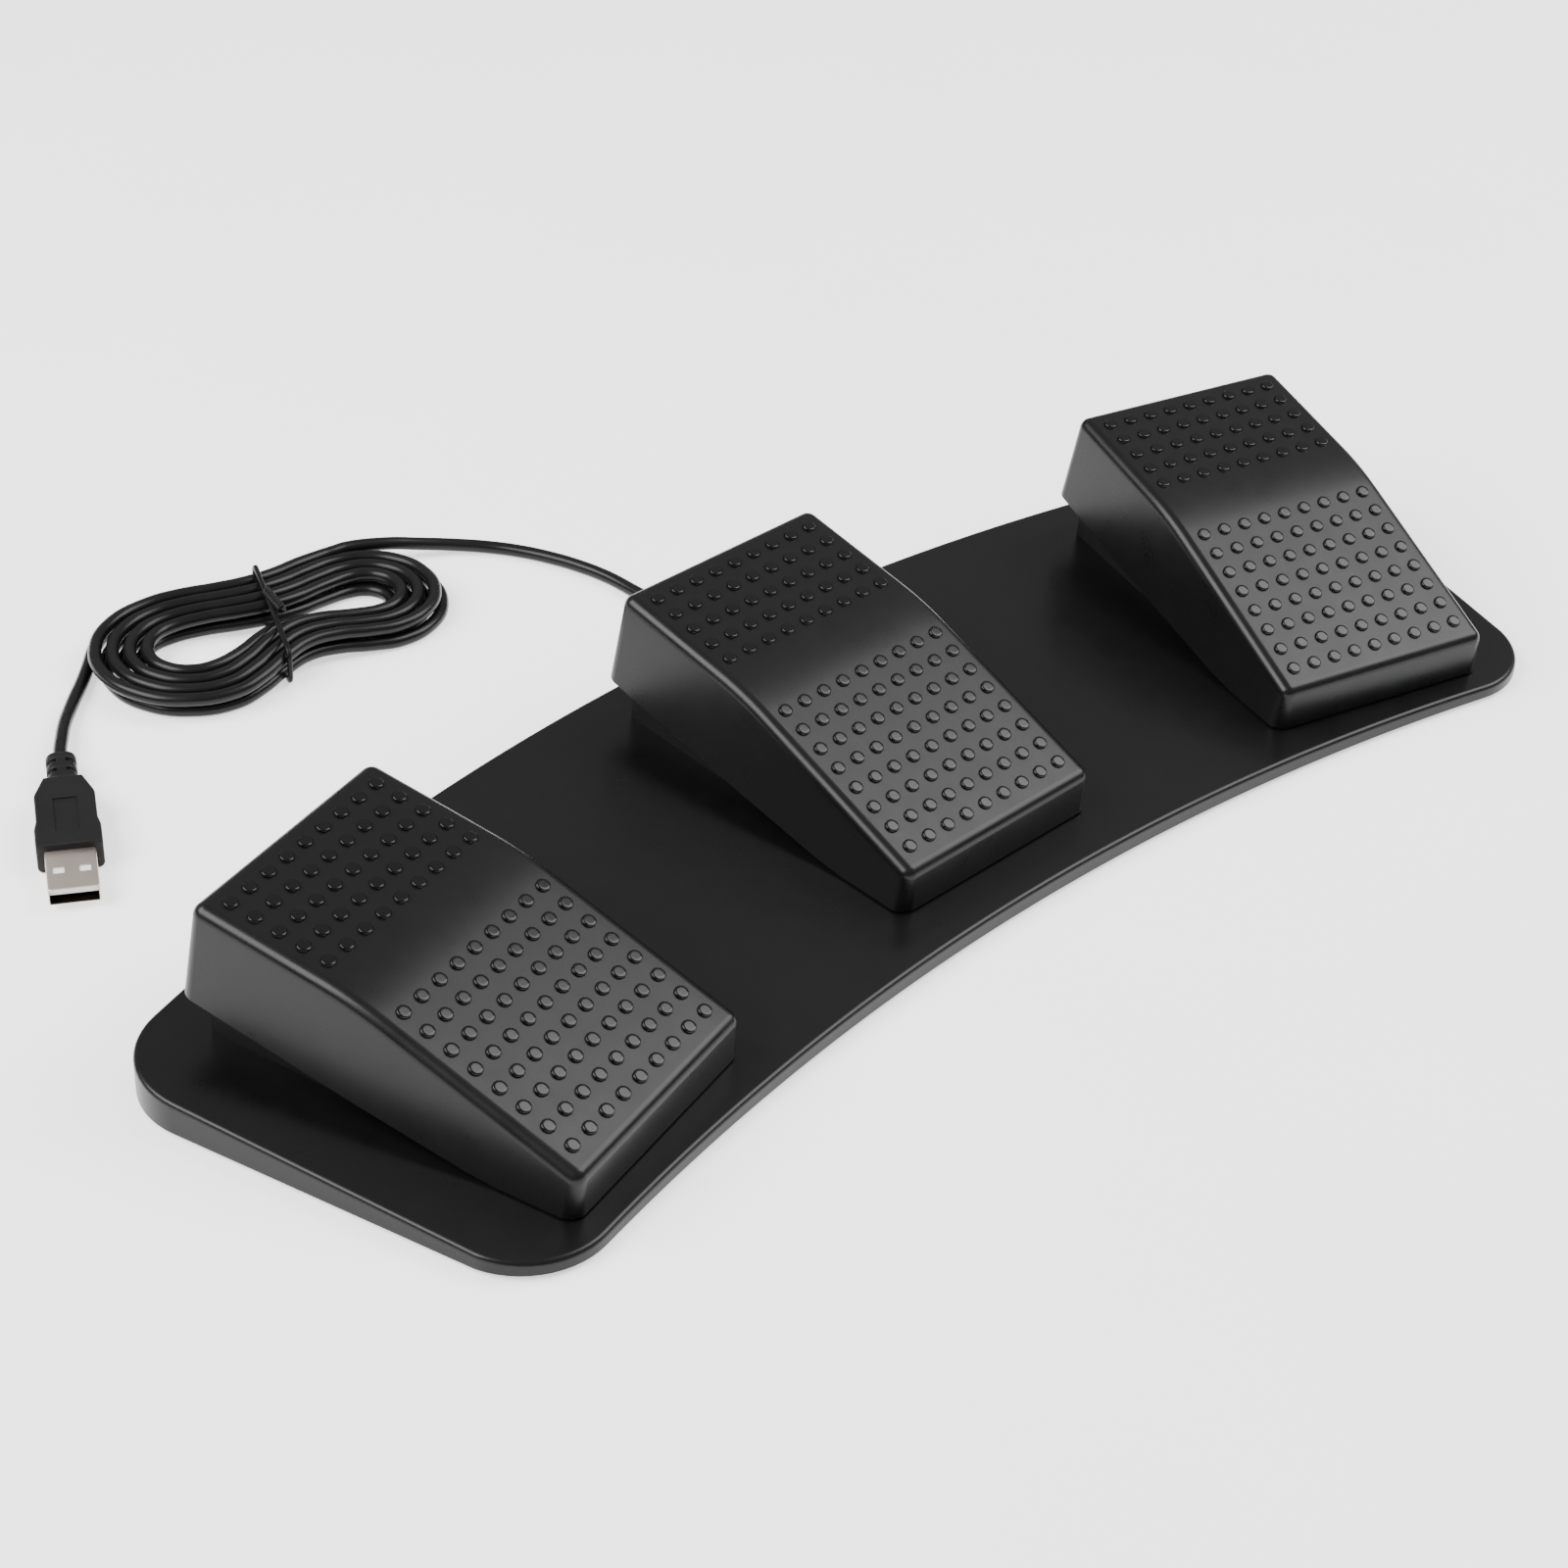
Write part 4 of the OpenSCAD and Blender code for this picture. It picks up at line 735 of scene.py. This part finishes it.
# Tread bumps: low round studs with flat tops, moulded in one piece with the cover, in a field of
# five rows on the rear panel and a field of eight rows on the front panel. The mould is polished
# there, so their rims catch more light than the panels.
bump_d, bump_h, bump_pitch, bump_columns = 3.5, 0.65, 6.4, 9
bump_rows = {"rear": 5, "front": 8}
bump_flatness, bump_rim = 9.0, 0.4
# ABS from a polished mould: a deeper black, whose highlights are small and clear.
polished_abs = grained("polished black ABS", ("#060607", "#09090a"), 0.18, (0.15, 0.19), ior=1.35)
bump_group, given = node_group("tread bumps", {
    "Columns": "Int", "Rows": "Int", "Pitch": "Float", "Diameter": "Float", "Height": "Float",
    "Flatness": "Float", "Rim": "Float", "Place": "Vector", "Turn": "Rotation", "Material": "Material"})
# The upper half of a ball, whose points are moved to a flat top with a rim: the height is that of
# the bump times (1 - r ^ (2 flatness)) ^ rim at a share r of the radius.
ball = add_node(bump_group, "GeometryNodeMeshUVSphere", {"Segments": 12, "Rings": 10, "Radius": 1.0})
spot = add_node(bump_group, "GeometryNodeInputPosition").outputs["Position"]
axes = add_node(bump_group, "ShaderNodeSeparateXYZ", {"Vector": spot}).outputs
below = add_node(bump_group, "ShaderNodeMath", {0: axes["Z"], 1: -0.01}, operation="LESS_THAN")
cap = add_node(bump_group, "GeometryNodeDeleteGeometry", {
    "Geometry": ball.outputs["Mesh"], "Selection": below.outputs[0]})
radius = add_node(bump_group, "ShaderNodeMath", {
    0: given["Diameter"], 1: 0.5}, operation="MULTIPLY")
wide_x = add_node(bump_group, "ShaderNodeMath", {
    0: axes["X"], 1: radius.outputs[0]}, operation="MULTIPLY")
wide_y = add_node(bump_group, "ShaderNodeMath", {
    0: axes["Y"], 1: radius.outputs[0]}, operation="MULTIPLY")
height_squared = add_node(bump_group, "ShaderNodeMath", {
    0: axes["Z"], 1: axes["Z"]}, operation="MULTIPLY")
reach_squared = add_node(bump_group, "ShaderNodeMath", {
    0: 1.0, 1: height_squared.outputs[0]}, operation="SUBTRACT")
sink = add_node(bump_group, "ShaderNodeMath", {
    0: reach_squared.outputs[0], 1: given["Flatness"]}, operation="POWER")
level = add_node(bump_group, "ShaderNodeMath", {
    0: 1.0, 1: sink.outputs[0]}, operation="SUBTRACT", use_clamp=True)
level = add_node(bump_group, "ShaderNodeMath", {
    0: level.outputs[0], 1: given["Rim"]}, operation="POWER")
level = add_node(bump_group, "ShaderNodeMath", {
    0: level.outputs[0], 1: given["Height"]}, operation="MULTIPLY")
shaped = add_node(bump_group, "ShaderNodeCombineXYZ", {
    "X": wide_x.outputs[0], "Y": wide_y.outputs[0], "Z": level.outputs[0]})
stud = add_node(bump_group, "GeometryNodeSetPosition", {
    "Geometry": cap.outputs["Geometry"], "Position": shaped.outputs["Vector"]})
spans = []
for count in ("Columns", "Rows"):
    steps = add_node(bump_group, "ShaderNodeMath", {0: given[count], 1: 1.0}, operation="SUBTRACT")
    spans.append(add_node(bump_group, "ShaderNodeMath", {
        0: steps.outputs[0], 1: given["Pitch"]}, operation="MULTIPLY"))
field = add_node(bump_group, "GeometryNodeMeshGrid", {
    "Size X": spans[0].outputs[0], "Size Y": spans[1].outputs[0],
    "Vertices X": given["Columns"], "Vertices Y": given["Rows"]})
studs = add_node(bump_group, "GeometryNodeInstanceOnPoints", {
    "Points": field.outputs["Mesh"], "Instance": stud.outputs["Geometry"]})
placed = add_node(bump_group, "GeometryNodeTransform", {
    "Geometry": studs.outputs["Instances"], "Translation": given["Place"], "Rotation": given["Turn"]})
close_group(bump_group, placed.outputs["Geometry"], given["Material"])
for name, place in pedal_place.items():
    for panel, y, slope in (("rear", rear_field_y, rear_slope), ("front", front_field_y, front_slope)):
        field_place = place @ Matrix.Translation((0, y, tread_z(y))) @ Matrix.Rotation(slope, 4, "X")
        bumps = grown_piece(name + "_" + panel + "_bumps", bump_group, {
            "Columns": bump_columns, "Rows": bump_rows[panel], "Pitch": bump_pitch * MM,
            "Diameter": bump_d * MM, "Height": bump_h * MM, "Flatness": bump_flatness,
            "Rim": bump_rim, "Place": field_place.translation * MM, "Turn": field_place.to_euler(),
            "Material": polished_abs}, crease=60)
        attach(bumps, name + "_pedal")


# Pedestals: open trays in black ABS, screwed to the deck from below. They carry the hinge pin, the
# return spring and the switch, and show as a dark wall under the rear of each cover: their mould is
# coarser, so the ABS is a duller black that takes little light.
pedestal_abs = grained("matt black ABS", ("#121213", "#161617"), 0.2, (0.45, 0.52), 0.012)
for name in pedal_place:
    dress(name + "_pedestal", pedestal_abs)


# Underside: a black-painted steel plate, eight rubber feet stuck to it and six screws of zinc-plated
# steel, whose low heads have cross recesses.
head_d, head_top_d, head_h, shank_d, shank_len = 5.2, 4.4, 0.8, 2.6, 4.0
recess_len, recess_w, recess_deep = 2.8, 0.7, 1.0
screw_spots = ((90, -24), (90, -84), (176, -78))
# Paint on sheet gives a dull black with a faint orange peel, moulded rubber a dead black, and zinc
# a bluish grey mirror, a little clouded.
plate_paint = grained("black-painted steel sheet", ("#18181a", "#1e1e20"), 0.6, (0.4, 0.5), 0.01)
rubber = grained("moulded black rubber", ("#0f0f0f", "#151515"), 0.4, (0.75, 0.9), 0.02)
screw_steel = grained("zinc-plated steel", ("#8f9296", "#a3a6aa"), 0.3, (0.28, 0.38), 0.002, 1.0)
dress("bottom_plate", plate_paint)
dress("rubber_feet", rubber)
screw_group, given = node_group("cross-recess screws", {
    "Points": "Geometry", "Head Radius": "Float", "Top Radius": "Float", "Head Height": "Float",
    "Shank Radius": "Float", "Shank Length": "Float", "Recess": "Vector", "Material": "Material"})
head = add_node(screw_group, "GeometryNodeMeshCone", {
    "Vertices": 32, "Radius Top": given["Top Radius"], "Radius Bottom": given["Head Radius"],
    "Depth": given["Head Height"]})
blade = add_node(screw_group, "GeometryNodeMeshCube", {"Size": given["Recess"]})
depth = add_node(screw_group, "ShaderNodeCombineXYZ", {"Z": given["Head Height"]})
recess = add_node(screw_group, "GeometryNodeMeshBoolean", {
    "Mesh 1": head.outputs["Mesh"]}, operation="DIFFERENCE")
for turn in (0.0, math.pi / 2):
    arm = add_node(screw_group, "GeometryNodeTransform", {
        "Geometry": blade.outputs["Mesh"], "Translation": depth.outputs["Vector"],
        "Rotation": (0.0, 0.0, turn)})
    screw_group.links.new(arm.outputs["Geometry"], recess.inputs["Mesh 2"])
shank = add_node(screw_group, "GeometryNodeMeshCylinder", {
    "Vertices": 24, "Radius": given["Shank Radius"], "Depth": given["Shank Length"]})
sunk = add_node(screw_group, "ShaderNodeMath", {
    0: given["Shank Length"], 1: -0.5}, operation="MULTIPLY")
sunk = add_node(screw_group, "ShaderNodeCombineXYZ", {"Z": sunk.outputs[0]})
shank = add_node(screw_group, "GeometryNodeTransform", {
    "Geometry": shank.outputs["Mesh"], "Translation": sunk.outputs["Vector"]})
screw = add_node(screw_group, "GeometryNodeJoinGeometry")
for part in (recess.outputs["Mesh"], shank.outputs["Geometry"]):
    screw_group.links.new(part, screw.inputs["Geometry"])
upside_down = add_node(screw_group, "GeometryNodeTransform", {
    "Geometry": screw.outputs["Geometry"], "Rotation": (math.pi, 0.0, 0.0)})
set_in = add_node(screw_group, "GeometryNodeInstanceOnPoints", {
    "Points": given["Points"], "Instance": upside_down.outputs["Geometry"]})
close_group(screw_group, set_in.outputs["Instances"], given["Material"])
screws = grown_piece("bottom_screws_recessed", screw_group, {
    "Head Radius": head_d / 2 * MM, "Top Radius": head_top_d / 2 * MM, "Head Height": head_h * MM,
    "Shank Radius": shank_d / 2 * MM, "Shank Length": shank_len * MM,
    "Recess": Vector((recess_len, recess_w, recess_deep)) * MM, "Material": screw_steel}, points=[
        base_place @ Vector((side * x, y, foot_h)) * MM for side in (-1, 1) for x, y in screw_spots])
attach(screws, "base")
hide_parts("bottom_screws")


# Return springs: wound from drawn steel wire, each standing on a peg of its pedestal. Each is a
# fixed mesh that does not move with its cover.
spring_y, spring_r, spring_wire, spring_low, spring_high = 56.0, 5.2, 1.2, 3.3, 28.1
spring_turns, turn_points, wire_points = 6.5, 16, 8
wound_steps = round(turn_points * spring_turns)
# Wire drawn through a die: a smooth grey mirror.
spring_steel = grained("drawn spring wire", ("#9fa2a6", "#b5b8bc"), 0.3, (0.25, 0.35), 0.0, 1.0)
spring_rings = []
for k in range(wound_steps + 1):
    out = direction(360 * k / turn_points).to_3d()
    rise = spring_low + (spring_high - spring_low) * k / wound_steps
    core = spring_r * out + Vector((0, spring_y, rise))
    spring_rings.append([
        core + spring_wire / 2 * (out * spot.x + Vector((0, 0, spot.y)))
        for spot in (direction(360 * w / wire_points) for w in range(wire_points))])
for name, place in pedal_place.items():
    spring = mesh_piece(
        name + "_wound_spring", [ring_mesh(spring_rings)], spring_steel, place, crease=60)
    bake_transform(spring)
    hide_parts(name + "_return_spring")


# Works inside: hinge pins of bright ground steel, levers of spring steel, switches in dull grey nylon
# with waxy red plungers, wires with a soft red sheen, and a board under glassy green resist, with its
# screws. None of it shows while the object is closed.
pin_steel = grained("ground steel", ("#b4b7bb", "#c3c6ca"), 0.4, (0.18, 0.26), 0.0, 1.0)
switch_nylon = grained("glass-filled grey nylon", ("#232528", "#2a2c2f"), 0.3, (0.5, 0.6), 0.008)
plunger_acetal = grained("moulded red acetal", ("#a63428", "#b84034"), 0.3, (0.35, 0.45))
wire_pvc = grained("red PVC insulation", ("#701b1b", "#842424"), 0.4, (0.4, 0.5))
laminate = grained("green solder resist", ("#1a5234", "#236441"), 0.5, (0.3, 0.4), 0.004)
inside = {"controller_board": laminate, "board_screws": screw_steel, "inner_usb_lead": wire_pvc}
for name in pedal_place:
    inside.update({
        name + "_pedestal_screws": screw_steel, name + "_hinge_pin": pin_steel,
        name + "_microswitch": switch_nylon, name + "_switch_lever": spring_steel,
        name + "_switch_plunger": plunger_acetal, name + "_switch_wire": wire_pvc})
for name, material in inside.items():
    dress(name, material)
